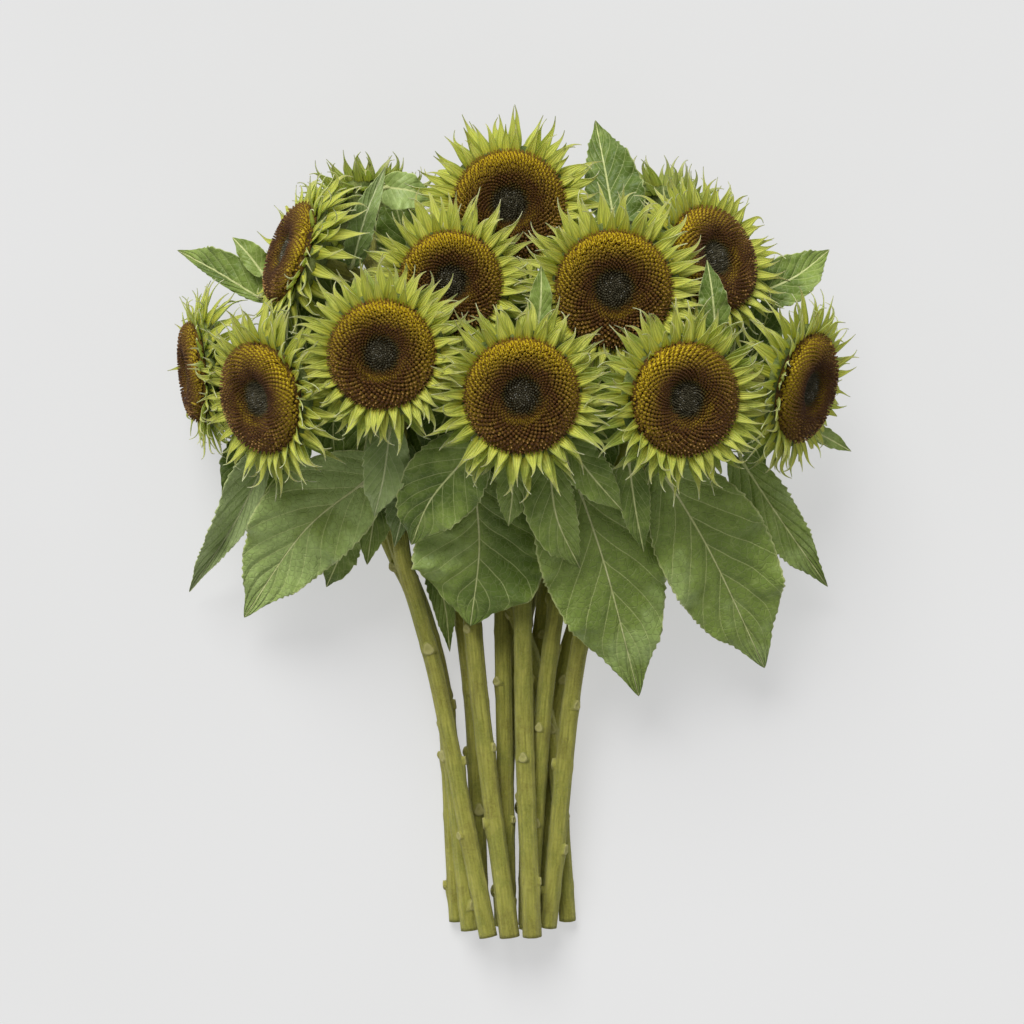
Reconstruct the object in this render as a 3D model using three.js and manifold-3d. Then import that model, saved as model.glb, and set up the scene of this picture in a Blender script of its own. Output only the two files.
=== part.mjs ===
// A bunch of thirteen cut sunflowers whose ray petals have been plucked, lying on a table.
// Millimetres. +Z is up from the table, +Y runs from the cut stem ends towards the flower heads, and the
// origin is under the middle of the bunch, on the table. Each flower is a stem, a calyx (the green
// receptacle with its ring of pointed bracts) and a domed disc of florets. Leaves grow from the stems on
// short stalks. The stems cross in a tight waist and lean apart above it, so the heads form a dome.
import * as THREE from "three";
import { mergeVertices } from "three/addons/utils/BufferGeometryUtils.js";
import Module from "manifold-3d";

const wasm = await Module();
wasm.setup();

const v = (x, y, z) => new THREE.Vector3(x, y, z);

// ---------------------------------------------------------------- driving dimensions

// Clearance kept between neighbouring pieces.
const GAP = 0.3;

// From the frame in which the bunch was measured to the one with its origin under its middle.
const BUNCH_SHIFT = [-3, -4.5, 0];

// centre: middle of the disc's rim. facing: where the head looks. disc: radius of the disc.
// foot: middle of the cut end. waist: a point the stem passes where the bunch is narrow. knee: one that
// it passes above that, where it leans out. stem: its radius.
const FLOWERS = [
  {
    name: "far_left",
    centre: [-269, 142, 80],
    facing: [-0.95, -0.1, 0.24],
    disc: 46,
    foot: [-47, -346, 6.9],
    waist: [-66, -105, 11],
    knee: [-102, -18, 32],
    stem: 7.5,
  },
  {
    name: "left",
    centre: [-205, 116, 168],
    facing: [-0.68, -0.2, 0.7],
    disc: 50,
    foot: [-35, -351, 25],
    waist: [-66, -105, 30],
    knee: [-97, -14, 60],
    stem: 8,
  },
  {
    name: "upper_left",
    centre: [-182, 239, 135],
    facing: [-0.88, 0.3, 0.36],
    disc: 47,
    foot: [-26, -348, 7.3],
    waist: [-38, -105, 12],
    stem: 8,
  },
  {
    name: "back_left",
    centre: [-124, 283, 54],
    facing: [-0.05, 0.72, -0.69],
    disc: 37,
    foot: [52, -345, 6.9],
    waist: [20, -123, 28],
    stem: 7.5,
  },
  {
    name: "front_left",
    centre: [-104, 149, 208],
    facing: [-0.14, 0.0, 0.99],
    disc: 48,
    foot: [-19, -354, 44],
    waist: [-68, -107, 50],
    knee: [-93, -10, 86],
    stem: 8,
  },
  {
    name: "inner_left",
    centre: [-49, 211, 172],
    facing: [0.0, 0.05, 1.0],
    disc: 46,
    foot: [0, -354, 46],
    waist: [-30, -105, 50],
    stem: 8.5,
  },
  {
    name: "front_middle",
    centre: [10, 115, 217],
    facing: [0.0, -0.04, 1.0],
    disc: 50.5,
    foot: [20, -354, 44],
    waist: [13, -105, 56],
    stem: 8.5,
  },
  {
    name: "top",
    centre: [0, 279, 136],
    facing: [0.0, 0.13, 0.99],
    disc: 51,
    foot: [-2, -351, 25],
    waist: [-3, -105, 34],
    stem: 8,
  },
  {
    name: "inner_right",
    centre: [86, 204, 190],
    facing: [0.04, -0.04, 1.0],
    disc: 52,
    foot: [16, -350, 25],
    waist: [32, -105, 40],
    stem: 8,
  },
  {
    name: "front_right",
    centre: [143, 113, 204],
    facing: [0.33, -0.08, 0.94],
    disc: 50,
    foot: [34, -348, 27],
    waist: [60, -105, 48],
    stem: 8,
  },
  {
    name: "upper_right",
    centre: [170, 233, 141],
    facing: [0.6, 0.22, 0.77],
    disc: 49,
    foot: [-6, -350, 7.3],
    waist: [8, -105, 10],
    stem: 8,
  },
  {
    name: "far_right",
    centre: [248, 126, 136],
    facing: [0.82, -0.24, 0.52],
    disc: 50,
    foot: [33.5, -350, 7.3],
    waist: [52, -105, 25],
    stem: 8,
  },
  {
    name: "back_right",
    centre: [140, 268, 59],
    facing: [0.5, 0.6, -0.62],
    disc: 44,
    foot: [15, -349, 6.9],
    waist: [30, -105, 10],
    stem: 7.5,
  },
];

// rib: base, middle and tip of the midrib. half: widths left and right of the rib, seen from above with
// the tip ahead. fold: how far each half is raised from flat, in radians. wide: a blade with more points.
// widest: the share of the rib where the blade is widest. node: leaves of one node grow from one place.
// start: where a second leaf's stalk leaves the first leaf.
const LEAVES = [
  { node: "upper_left", rib: [[-214, 204, 84], [-254, 229, 76], [-292, 250, 52]], half: [8, 22] },
  {
    node: "upper_left",
    rib: [[-213, 226, 93], [-225, 242, 92], [-240, 258, 86]],
    half: [9, 9],
    start: [-216, 206, 84.8],
  },
  {
    node: "hanging_left",
    rib: [[-210, 65, 92], [-242, 7, 66], [-285, -51, 22]],
    half: [17, 28],
    widest: 0.25,
    fold: 0.8,
  },
  { node: "big_left", rib: [[-121, 48, 112], [-178, 3, 90], [-234, -73, 44]], half: [40, 48], wide: true },
  {
    node: "big_left",
    rib: [[-139, 5, 86], [-149, -21, 72], [-161, -46, 52]],
    half: [16, 16],
    start: [-125, 45, 110.5],
  },
  { node: "front_left", rib: [[-100, 89, 160], [-106, 49, 150], [-115, 16, 128]], half: [20, 20], fold: 0.3 },
  {
    node: "front_left",
    rib: [[-88, 74, 131], [-89, 31, 121], [-99, -10, 98]],
    half: [14, 20],
    start: [-101, 84, 158.5],
  },
  { node: "middle_left", rib: [[-31, 71, 168], [-66, 31, 150], [-84, -8, 118]], half: [34, 34], wide: true },
  {
    node: "middle",
    rib: [[-29, 41, 130], [-26, -13, 110], [-34, -79, 76]],
    half: [60, 57],
    wide: true,
    widest: 0.5,
    fold: -0.1,
  },
  { node: "small_middle", rib: [[3, 62, 172], [2, 31, 160], [-1, 8, 142]], half: [14, 14] },
  { node: "middle_right", rib: [[33, 59, 174], [40, 14, 162], [60, -28, 130]], half: [18, 26] },
  { node: "front_right", rib: [[47, 77, 184], [71, 47, 178], [95, 21, 158]], half: [18, 18] },
  {
    node: "big_front",
    rib: [[57, 46, 140], [83, -31, 116], [113, -141, 64]],
    half: [54, 54],
    wide: true,
    fold: -0.05,
  },
  { node: "narrow_right", rib: [[100, 63, 158], [106, 22, 152], [114, -14, 132]], half: [14, 14] },
  {
    node: "big_right",
    rib: [[130, 53, 146], [173, -17, 114], [224, -117, 52]],
    half: [54, 45],
    wide: true,
    widest: 0.42,
    fold: 0.05,
  },
  { node: "low_right", rib: [[198, 65, 112], [236, 12, 82], [281, -46, 40]], half: [19, 26] },
  { node: "right_tip", rib: [[257, 93, 84], [275, 85, 78], [299, 73, 62]], half: [8, 8] },
  { node: "upper_right", rib: [[218, 210, 96], [249, 225, 88], [279, 249, 68]], half: [22, 21], widest: 0.28 },
  { node: "top", rib: [[88, 273, 126], [81, 317, 112], [74, 359, 88]], half: [22, 31], widest: 0.28 },
  { node: "folded", rib: [[-133, 232, 128], [-121, 272, 140], [-105, 313, 134]], half: [12, 12], fold: 0.8 },
  { node: "top_left", rib: [[-105, 298, 112], [-86, 295, 116], [-67, 290, 108]], half: [14, 16] },
  { node: "tip_middle", rib: [[24, 175, 196], [26, 198, 202], [26, 223, 204]], half: [10, 10] },
  {
    node: "tip_right",
    rib: [[170, 176, 190], [167, 202, 196], [163, 228, 194]],
    half: [13, 13],
    widest: 0.25,
  },
  { node: "behind_stems", rib: [[-68, -22, 52], [-57, -63, 43], [-53, -104, 31]], half: [10, 12] },
];

// Stems.
const STEM_SIDES = 7;
const FLAT = 0.91; // height of the axis over a flat side, as a share of the radius
const STEM_TAPER = 0.88; // radius under the head over radius at the cut
const NECK_REACH = 62; // the last stretch of stem runs straight into the head

// Calyx: the receptacle's depth below the disc's rim, how far its lip stands out past the disc, its sides.
const CUP_DEPTH = 26;
const CUP_LIP = 5;
const CUP_SIDES = 14;

// Bracts: how many, and the size of one.
const BRACTS = 26;
const BRACT_LENGTH = 36;
const BRACT_HALF_WIDTH = 7;
const BRACT_THICK = 1.8;
const BRACT_ROOT = 13; // how far inside the disc's rim it starts
const BRACT_BELLY = 0.34; // the share of its length where it is widest and bends

// Disc of florets: share of the radius and height over the rim, from the rim inwards. It is a cushion
// with a crater where the middle florets are still shut.
const DISC_SIDES = 24;
const DISC_RELIEF = 2.2;
const DISC_PROFILE = [
  [1.0, 0.0],
  [0.99, 6.5],
  [0.86, 12.0],
  [0.66, 14.5],
  [0.45, 14.5],
  [0.26, 10.0],
];
const DISC_MIDDLE = 8.5;

// Leaves: where along the rib the outline has its points, and how far its teeth stand out.
const WIDE_LEAF_STATIONS = [0, 0.05, 0.14, 0.24, 0.34, 0.45, 0.56, 0.67, 0.78, 0.88, 0.95, 1];
const LEAF_STATIONS = [0, 0.07, 0.2, 0.34, 0.48, 0.62, 0.76, 0.9, 1];
const LEAF_TOOTH = 0.045;
const LEAF_POINT = 0.3; // how much narrower its drawn-out tip is than a plain rounded one
const LEAF_LOBE = 0.45; // how far the two lobes of its heart reach back past the base, over the half width
const LEAF_THICK = 1.1;
const LEAF_RIPPLE = 0.15; // how far the halves swing up and down along the rib, in radians
const LEAF_QUILT = [-0.5, 1.5]; // height of the blade between rib and edge, from station to station
const STALK_RADIUS = 2.2;
const STALK_SIDES = 4;

// ---------------------------------------------------------------- solids

// A closed three.js geometry as a manifold-3d solid.
function solidOf(geometry) {
  const bare = new THREE.BufferGeometry().setAttribute("position", geometry.getAttribute("position").clone());
  if (geometry.index) bare.setIndex(geometry.index.clone());
  const merged = mergeVertices(bare, 1e-3);
  return new wasm.Manifold(
    new wasm.Mesh({
      numProp: 3,
      vertProperties: merged.attributes.position.array,
      triVerts: new Uint32Array(merged.index.array),
    }),
  );
}

// A manifold-3d solid as a three.js geometry.
function geometryOf(solid) {
  const mesh = solid.getMesh();
  const positions = new Float32Array(mesh.numVert * 3);
  for (let i = 0; i < mesh.numVert; i++) {
    const start = i * mesh.numProp;
    positions.set(mesh.vertProperties.subarray(start, start + 3), i * 3);
  }
  const geometry = new THREE.BufferGeometry();
  geometry.setAttribute("position", new THREE.BufferAttribute(positions, 3));
  geometry.setIndex(new THREE.BufferAttribute(mesh.triVerts, 1));
  geometry.computeVertexNormals();
  return geometry;
}

function indexedGeometry(points, faces) {
  const geometry = new THREE.BufferGeometry();
  geometry.setAttribute("position", new THREE.Float32BufferAttribute(points.flatMap((p) => p.toArray()), 3));
  geometry.setIndex(faces);
  geometry.computeVertexNormals();
  return geometry;
}

// A tube with flat ends through the points, with a radius at each. A flat side faces along down.
function sweep(points, radii, sides, down) {
  const last = points.length - 1;
  const rings = [];
  const aside = v(0, 0, 0);
  points.forEach((p, i) => {
    const along = points[Math.min(i + 1, last)].clone().sub(points[Math.max(i - 1, 0)]).normalize();
    if (i === 0) aside.copy(down);
    aside.addScaledVector(along, -aside.dot(along)).normalize();
    const across = along.clone().cross(aside);
    for (let k = 0; k < sides; k++) {
      const angle = ((k + 0.5) * 2 * Math.PI) / sides;
      const corner = p.clone().addScaledVector(aside, radii[i] * Math.cos(angle));
      rings.push(corner.addScaledVector(across, radii[i] * Math.sin(angle)));
    }
  });
  const faces = [];
  for (let i = 0; i < last; i++)
    for (let k = 0; k < sides; k++) {
      const a = i * sides + k;
      const b = i * sides + ((k + 1) % sides);
      faces.push(a, b, a + sides, b, b + sides, a + sides);
    }
  const top = last * sides;
  for (let k = 1; k < sides - 1; k++) faces.push(0, k + 1, k, top, top + k, top + k + 1);
  return indexedGeometry(rings, faces);
}

// A number from 0 to 1 that looks random, the same for the same seed.
function draw(seed) {
  const x = Math.sin(seed * 12.9898 + 4.1414) * 43758.5453;
  return x - Math.floor(x);
}

// ---------------------------------------------------------------- keeping clear

const placed = []; // the solids that later ones keep clear of, with the name of the mesh they belong to

function place(name, solid) {
  placed.push({ name, solid, box: solid.boundingBox() });
}

// Whether the solid meets one that is placed and isn't part of the mesh of that name.
function touches(name, solid) {
  const a = solid.boundingBox();
  return placed.some((other) => {
    const b = other.box;
    const apart = [0, 1, 2].some((k) => a.max[k] < b.min[k] || b.max[k] < a.min[k]);
    return !apart && other.name !== name && !solid.intersect(other.solid).isEmpty();
  });
}

// ---------------------------------------------------------------- routes of the stems

const ROUTE_STEPS = 40;
const ROUTE_FIXED = 2; // points at the neck that stay where they are
const ROUTE_ROUNDS = 300;
const ROUTE_SMOOTHING = 0.3;
const ROUTE_LAST_ROUNDS = 90; // in these the routes are hardly smoothed any more
const ROUTE_LAST_SMOOTHING = 0.02;
const ROUTE_GAP = 1.4; // spare room between stems, for their flat sides and bends
const HEAD_ROOM = 2; // spare room between a stem and another flower's head
const HEAD_HEIGHT = 18; // from a disc's rim to over its top
const STATIONS = [0, 4, 8, 12, 16, 20, 24, 28, 31, 34, 36, 38, 39, 40]; // route points that the solid uses

function facingOf(flower) {
  return v(...flower.facing).normalize();
}

// The route of a stem before its neighbours push it aside.
function firstRoute(flower) {
  const facing = facingOf(flower);
  const neck = v(...flower.centre).addScaledVector(facing, -(CUP_DEPTH + GAP));
  const bend = neck.clone().addScaledVector(facing, -NECK_REACH);
  const passed = [flower.foot, flower.waist, flower.knee].filter(Boolean).map((p) => v(...p));
  const curve = new THREE.CatmullRomCurve3([...passed, bend, neck]);
  const route = curve.getSpacedPoints(ROUTE_STEPS);
  const step = route[ROUTE_STEPS].distanceTo(route[ROUTE_STEPS - 1]);
  for (let k = 1; k <= ROUTE_FIXED; k++)
    route[ROUTE_STEPS - k].copy(neck).addScaledVector(facing, -k * step);
  return route;
}

// Moves a point out of another flower's head, the shortest way.
function pushOutOfHead(p, flower, radius) {
  const facing = facingOf(flower);
  const offset = p.clone().sub(v(...flower.centre));
  const height = offset.dot(facing);
  const across = offset.addScaledVector(facing, -height);
  const below = height + CUP_DEPTH + radius + HEAD_ROOM;
  const inside = flower.disc + CUP_LIP + radius + HEAD_ROOM - across.length();
  if (below <= 0 || inside <= 0 || height > HEAD_HEIGHT + radius) return;
  if (below < inside) p.addScaledVector(facing, -below);
  else p.addScaledVector(across.normalize(), inside);
}

// Moves the points of two routes apart wherever they come nearer than reach.
function separate(one, other, reach) {
  const line = new THREE.Line3();
  const near = v(0, 0, 0);
  const free = one.length - 1 - ROUTE_FIXED;
  one.forEach((p, k) => {
    for (let m = 0; m < other.length - 1; m++) {
      line.set(other[m], other[m + 1]);
      line.closestPointToPoint(p, true, near);
      const distance = p.distanceTo(near);
      if (distance >= reach || distance === 0) continue;
      const push = p.clone().sub(near).multiplyScalar((0.5 * (reach - distance)) / distance);
      if (k > 0 && k < free) p.add(push);
      if (m > 0 && m < free) other[m].sub(push);
      if (m + 1 < free) other[m + 1].sub(push);
    }
  });
}

// The place half way between a point's two neighbours on a route.
function between(route, k) {
  return route[k - 1].clone().add(route[k + 1]).multiplyScalar(0.5);
}

// Lets the stems settle side by side: each is drawn back to the bends it had at first while all push each
// other apart.
function settledRoutes() {
  const routes = FLOWERS.map(firstRoute);
  const moving = Array.from({ length: ROUTE_STEPS - ROUTE_FIXED - 1 }, (_, m) => m + 1);
  const bends = routes.map((route) => moving.map((k) => route[k].clone().sub(between(route, k))));
  for (let round = 0; round < ROUTE_ROUNDS; round++) {
    const last = round >= ROUTE_ROUNDS - ROUTE_LAST_ROUNDS;
    const smoothing = last ? ROUTE_LAST_SMOOTHING : ROUTE_SMOOTHING;
    routes.forEach((route, i) => {
      const radius = FLOWERS[i].stem;
      moving.forEach((k, m) => {
        route[k].lerp(between(route, k).add(bends[i][m]), smoothing);
        FLOWERS.forEach((other, j) => j !== i && pushOutOfHead(route[k], other, radius));
        route[k].z = Math.max(route[k].z, radius * FLAT);
      });
    });
    routes.forEach((one, i) =>
      routes.forEach((other, j) => {
        if (i !== j) separate(one, other, FLOWERS[i].stem + FLOWERS[j].stem + ROUTE_GAP);
      }),
    );
  }
  return routes;
}

// The stem's radius at a share of its length: it tapers, and swells a little where leaves were stripped.
function stemRadius(flower, share, seed) {
  const knots = 1 + 0.05 * (draw(seed + 31 * share) - 0.5);
  return flower.stem * THREE.MathUtils.lerp(1, STEM_TAPER, share) * knots;
}

function stemGeometry(flower, route, seed) {
  const points = STATIONS.map((k) => route[k]);
  const radii = STATIONS.map((k) => stemRadius(flower, k / ROUTE_STEPS, seed));
  return sweep(points, radii, STEM_SIDES, v(0, 0, -1));
}

// ---------------------------------------------------------------- heads

// The profile turned round the Y axis, from its lowest point on the axis to its highest.
function turned(profile, sides) {
  return new THREE.LatheGeometry(
    profile.map(([r, h]) => new THREE.Vector2(r, h)),
    sides,
  );
}

// The domed disc. Its rings are staggered by half a step, and every other knob of a ring stands up, so
// that the knobs follow the two sets of spirals in which florets grow.
function discGeometry(radius) {
  const profile = [[0, 0], ...DISC_PROFILE.map(([share, h]) => [share * radius, h]), [0, DISC_MIDDLE]];
  const geometry = turned(profile, DISC_SIDES);
  const position = geometry.getAttribute("position");
  const rings = profile.length;
  const step = (2 * Math.PI) / DISC_SIDES;
  const p = v(0, 0, 0);
  for (let i = 0; i < position.count; i++) {
    const ring = i % rings;
    const side = Math.floor(i / rings);
    const inside = ring > 1 && ring < rings - 1;
    p.fromBufferAttribute(position, i).applyAxisAngle(v(0, 1, 0), 0.5 * ring * step);
    if (inside && (side + ring) % 2 === 0) p.y += DISC_RELIEF;
    position.setXYZ(i, p.x, p.y, p.z);
  }
  return geometry;
}

// The bowl-shaped receptacle that carries the disc and narrows to the stem.
function cupGeometry(flower) {
  const rim = flower.disc + CUP_LIP;
  return turned(
    [
      [0, -CUP_DEPTH],
      [flower.stem * STEM_TAPER + 1, -CUP_DEPTH],
      [0.64 * rim, -0.7 * CUP_DEPTH],
      [rim, -6],
      [flower.disc, -GAP],
      [0, -GAP],
    ],
    CUP_SIDES,
  );
}

// Where the head stands: its frame has +Y along its facing and its origin in the middle of its rim.
function headFrame(flower) {
  const head = new THREE.Group();
  head.position.set(...flower.centre);
  head.quaternion.setFromUnitVectors(v(0, 1, 0), facingOf(flower));
  head.updateMatrix();
  return head;
}

// One bract as a bent kite with a keel: a root sunk in the receptacle, its widest section, and the tip.
// It is in the bunch's frame, with a tip that would pass below the table pressed flat on it.
function bractGeometry(flower, matrix, angle, bract) {
  const out = v(Math.cos(angle), 0, Math.sin(angle));
  const side = v(-Math.sin(angle), 0, Math.cos(angle));
  const at = (reach, height, aside) =>
    v(0, height, 0).addScaledVector(out, reach).addScaledVector(side, aside).applyMatrix4(matrix);
  const root = flower.disc - BRACT_ROOT;
  const low = BRACT_BELLY * bract.length;
  const high = bract.length - low;
  const belly = flower.disc + low * Math.cos(bract.rise);
  const bellyHeight = bract.height + low * Math.sin(bract.rise);
  const tip = belly + high * Math.cos(bract.rise + bract.curl);
  const tipHeight = bellyHeight + high * Math.sin(bract.rise + bract.curl);
  const points = [
    at(root, bract.height - 1, 0),
    at(belly, bellyHeight, bract.half),
    at(belly, bellyHeight, -bract.half),
    at(belly - 2, bellyHeight - BRACT_THICK, 0),
    at(tip, tipHeight, bract.sway),
  ];
  points[4].z = Math.max(points[4].z, 0);
  const faces = [0, 1, 2, 0, 2, 3, 0, 3, 1, 4, 2, 1, 4, 3, 2, 4, 1, 3];
  return indexedGeometry(points, faces);
}

// Changes of rise and length that are tried in turn until a bract is clear of its neighbours.
const BRACT_TURNS = [0, 0.15, -0.15, 0.3, -0.3, 0.45, -0.45, 0.6, -0.6, 0.8, -0.8, 1, -1, 1.2, -1.2];
const BRACT_SHARES = [1, 0.8, 0.6, 0.45];
const BRACT_TRIES = BRACT_SHARES.flatMap((share) => BRACT_TURNS.map((turn) => [share, turn]));

// The size and lean of bract i of a head, drawn at random round the rule for its row.
function bractSize(seed, i) {
  const chance = (k) => draw(97 * seed + 7 * i + k) - 0.5;
  const inner = i % 2 === 0;
  return {
    turn: 0.3 * chance(0),
    length: BRACT_LENGTH * (inner ? 0.9 : 1.05) * (1 + 0.25 * chance(1)),
    half: BRACT_HALF_WIDTH * (1 + 0.2 * chance(2)),
    height: inner ? -5 : -8.5,
    rise: (inner ? 0.35 : 0.0) + 0.25 * chance(3),
    curl: -0.2 + 0.6 * chance(4),
    sway: 7 * chance(5),
  };
}

function addBracts({ flower, matrix, name }, seed) {
  for (let i = 0; i < BRACTS; i++) {
    const size = bractSize(seed, i);
    const angle = ((i + size.turn) * 2 * Math.PI) / BRACTS;
    for (const [share, turn] of BRACT_TRIES) {
      const bract = { ...size, length: share * size.length, rise: size.rise + turn };
      const solid = solidOf(bractGeometry(flower, matrix, angle, bract));
      if (solid.boundingBox().min[2] < 0 || touches(name, solid)) continue;
      place(name, solid);
      break;
    }
  }
}

// ---------------------------------------------------------------- leaves

// Half width of the blade at a share t of the rib, over its greatest: it draws out to a long point.
function leafOutline(leaf, t) {
  const full = Math.sin(Math.PI * t ** (Math.log(0.5) / Math.log(leaf.widest ?? 0.33))) ** 0.8;
  return full * (1 - LEAF_POINT * THREE.MathUtils.smoothstep(t, 0.68, 0.95));
}

// Points across the blade at each station, from the right edge to the left, and the upward direction.
function leafRows(leaf) {
  const rib = new THREE.CatmullRomCurve3(leaf.rib.map((p) => v(...p)));
  const shares = leaf.wide ? [-1, -0.5, 0, 0.5, 1] : [-1, 0, 1];
  const fold = leaf.fold ?? 0.2;
  return (leaf.wide ? WIDE_LEAF_STATIONS : LEAF_STATIONS).map((t, row) => {
    const along = rib.getTangent(t);
    const up = v(0, 0, 1).addScaledVector(along, -along.z).normalize();
    const left = up.clone().cross(along);
    const tooth = row % 2 ? 1 + LEAF_TOOTH : 1 - LEAF_TOOTH;
    const points = shares.map((share) => {
      const widest = share > 0 ? leaf.half[0] : leaf.half[1];
      const half = widest * leafOutline(leaf, t) * tooth;
      const lobe = Math.abs(share) * LEAF_LOBE * widest * Math.max(0, 1 - t / 0.4) ** 2;
      const ripple = LEAF_RIPPLE * Math.sin(7 * t + 2 * Math.sign(share));
      const tilt = Math.abs(share) * half * Math.sin(fold + ripple);
      const quilt = Math.abs(share) === 0.5 ? LEAF_QUILT[row % 2] * leafOutline(leaf, t) : 0;
      const reach = share * half * Math.cos(fold + ripple);
      const point = rib.getPoint(t).addScaledVector(left, reach).addScaledVector(up, tilt + quilt);
      return row === 0 ? point : point.addScaledVector(along, -lobe);
    });
    return { points, up };
  });
}

// The blade: its upper face, the same face moved down by its thickness, and the edge between them.
function bladeGeometry(leaf) {
  const rows = leafRows(leaf);
  const columns = rows[0].points.length;
  const upper = rows.flatMap((row) => row.points);
  const lower = rows.flatMap(({ points, up }) => points.map((p) => p.clone().addScaledVector(up, -LEAF_THICK)));
  const under = upper.length;
  const faces = [];
  const quad = (a, b, c, d) => faces.push(a, b, c, b, d, c);
  for (let i = 0; i < rows.length - 1; i++) {
    const start = i * columns;
    for (let k = 0; k < columns - 1; k++) {
      const a = start + k;
      const [b, c, d] = [a + 1, a + columns, a + columns + 1];
      if (k < (columns - 1) / 2) {
        faces.push(a, c, d, a, d, b);
        faces.push(under + a, under + d, under + c, under + a, under + b, under + d);
      } else {
        faces.push(a, c, b, b, c, d);
        faces.push(under + a, under + b, under + c, under + b, under + d, under + c);
      }
    }
    const right = start + columns - 1;
    quad(start, under + start, start + columns, under + start + columns);
    quad(under + right, right, under + right + columns, right + columns);
  }
  return indexedGeometry([...upper, ...lower], faces);
}

// The stalk from the nearest stem to a little way along the rib. It starts later if something is in its way.
const STALK_STARTS = [0, 0.2, 0.4, 0.6, 0.75, 0.9];

function stalkSolid(name, leaf) {
  const rib = new THREE.CatmullRomCurve3(leaf.rib.map((p) => v(...p)));
  const base = rib.getPoint(0);
  const along = rib.getTangent(0);
  const start = leaf.start ? v(...leaf.start) : nearStem(base);
  const reach = start.distanceTo(base);
  const curve = new THREE.QuadraticBezierCurve3(start, base.clone().addScaledVector(along, -0.5 * reach), base);
  for (const from of STALK_STARTS) {
    const points = [0, 0.5, 1].map((share) => curve.getPoint(from + (1 - from) * share));
    points.push(rib.getPoint(0.12));
    const radii = [1, 1, 1, 0.5].map((share) => share * STALK_RADIUS);
    const solid = solidOf(sweep(points, radii, STALK_SIDES, v(0, 0, -1)));
    if (!touches(name, solid)) return solid;
  }
  throw new Error(name + " has no free stalk");
}

// The point just off the nearest stem's skin, towards p.
function nearStem(p) {
  let best = { distance: Infinity };
  const line = new THREE.Line3();
  routes.forEach((route, i) => {
    for (let k = 1; k < STATIONS.length; k++) {
      line.set(route[STATIONS[k - 1]], route[STATIONS[k]]);
      const point = line.closestPointToPoint(p, true, v(0, 0, 0));
      const distance = point.distanceTo(p);
      if (distance < best.distance) best = { distance, point, radius: FLOWERS[i].stem };
    }
  });
  return best.point.add(p.clone().sub(best.point).setLength(best.radius + STALK_RADIUS + GAP));
}

// ---------------------------------------------------------------- assembly

function material(color, roughness) {
  return new THREE.MeshStandardMaterial({ color, roughness, metalness: 0 });
}

function addMesh(parent, name, geometry, look) {
  const mesh = new THREE.Mesh(geometry, look);
  mesh.name = name;
  parent.add(mesh);
}

// Adds one mesh for all that was placed under its name.
function addPlaced(name, look) {
  const solids = placed.filter((entry) => entry.name === name).map((entry) => entry.solid);
  addMesh(group, name, geometryOf(wasm.Manifold.union(solids)), look);
}

const group = new THREE.Group();
group.position.set(...BUNCH_SHIFT);

const routes = settledRoutes();
FLOWERS.forEach((flower, i) => {
  const name = "stem_" + flower.name;
  const geometry = stemGeometry(flower, routes[i], i);
  addMesh(group, name, geometry, material(0x9a9a4e, 0.75));
  place(name, solidOf(geometry));
});

const calyxes = FLOWERS.map((flower) => {
  const head = headFrame(flower);
  group.add(head);
  const disc = discGeometry(flower.disc);
  addMesh(head, "disc_" + flower.name, disc, material(0x4a2c14, 0.85));
  place("disc_" + flower.name, solidOf(disc).transform(head.matrix.toArray()));
  const name = "calyx_" + flower.name;
  place(name, solidOf(cupGeometry(flower)).transform(head.matrix.toArray()));
  return { flower, matrix: head.matrix, name };
});

for (const leaf of LEAVES) {
  const name = "leaf_" + leaf.node;
  place(name, solidOf(bladeGeometry(leaf)));
  place(name, stalkSolid(name, leaf));
}
for (const name of new Set(LEAVES.map((leaf) => "leaf_" + leaf.node))) addPlaced(name, material(0x5b7a3a, 0.65));

calyxes.forEach(addBracts);
for (const { name } of calyxes) addPlaced(name, material(0xa3b53f, 0.7));

export default group;
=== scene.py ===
"""A bunch of thirteen cut sunflowers, their ray petals plucked, lying on a pale table.

Everything is in metres and in the part's own frame: +Z is up from the table and +Y runs from the cut
stem ends towards the heads. The stems follow the middles of the part's own solids. The heads and
leaves stand on the same driving dimensions as the part, given in millimetres where they are named.
"""

import logging
import math
import random
from collections.abc import Callable, Iterable, Sequence
from dataclasses import dataclass, field
from enum import Enum

import bmesh
import bpy
import numpy as np
from bmesh.types import BMesh, BMFace, BMVert
from bpy.types import Material, Node, NodeSocket, NodeTree, Object
from mathutils import Matrix, Vector
from mathutils.bvhtree import BVHTree


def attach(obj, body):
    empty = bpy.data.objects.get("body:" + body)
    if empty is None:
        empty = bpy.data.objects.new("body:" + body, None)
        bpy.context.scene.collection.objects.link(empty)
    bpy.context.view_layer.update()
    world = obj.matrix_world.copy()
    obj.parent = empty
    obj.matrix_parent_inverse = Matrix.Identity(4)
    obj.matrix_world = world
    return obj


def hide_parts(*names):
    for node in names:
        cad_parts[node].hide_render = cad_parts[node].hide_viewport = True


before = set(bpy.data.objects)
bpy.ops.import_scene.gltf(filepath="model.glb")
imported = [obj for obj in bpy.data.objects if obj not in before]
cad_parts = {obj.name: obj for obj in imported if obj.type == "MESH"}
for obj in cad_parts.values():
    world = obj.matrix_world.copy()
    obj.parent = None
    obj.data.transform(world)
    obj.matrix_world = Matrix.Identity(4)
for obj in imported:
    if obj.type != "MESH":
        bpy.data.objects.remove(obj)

log = logging.getLogger("sunflowers")

MM = 0.001
TURN = 2 * math.pi  # a full turn, in radians
GOLDEN_ANGLE = math.pi * (3 - math.sqrt(5))
CLEARANCE = 0.1 * MM  # least height over the table
SAME_PLACE = 1e-6  # corners nearer to each other than this, in metres, are merged
BUNCH_SHIFT = Vector((-3.0, -4.5, 0.0)) * MM  # from the frame in which the bunch was measured


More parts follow.
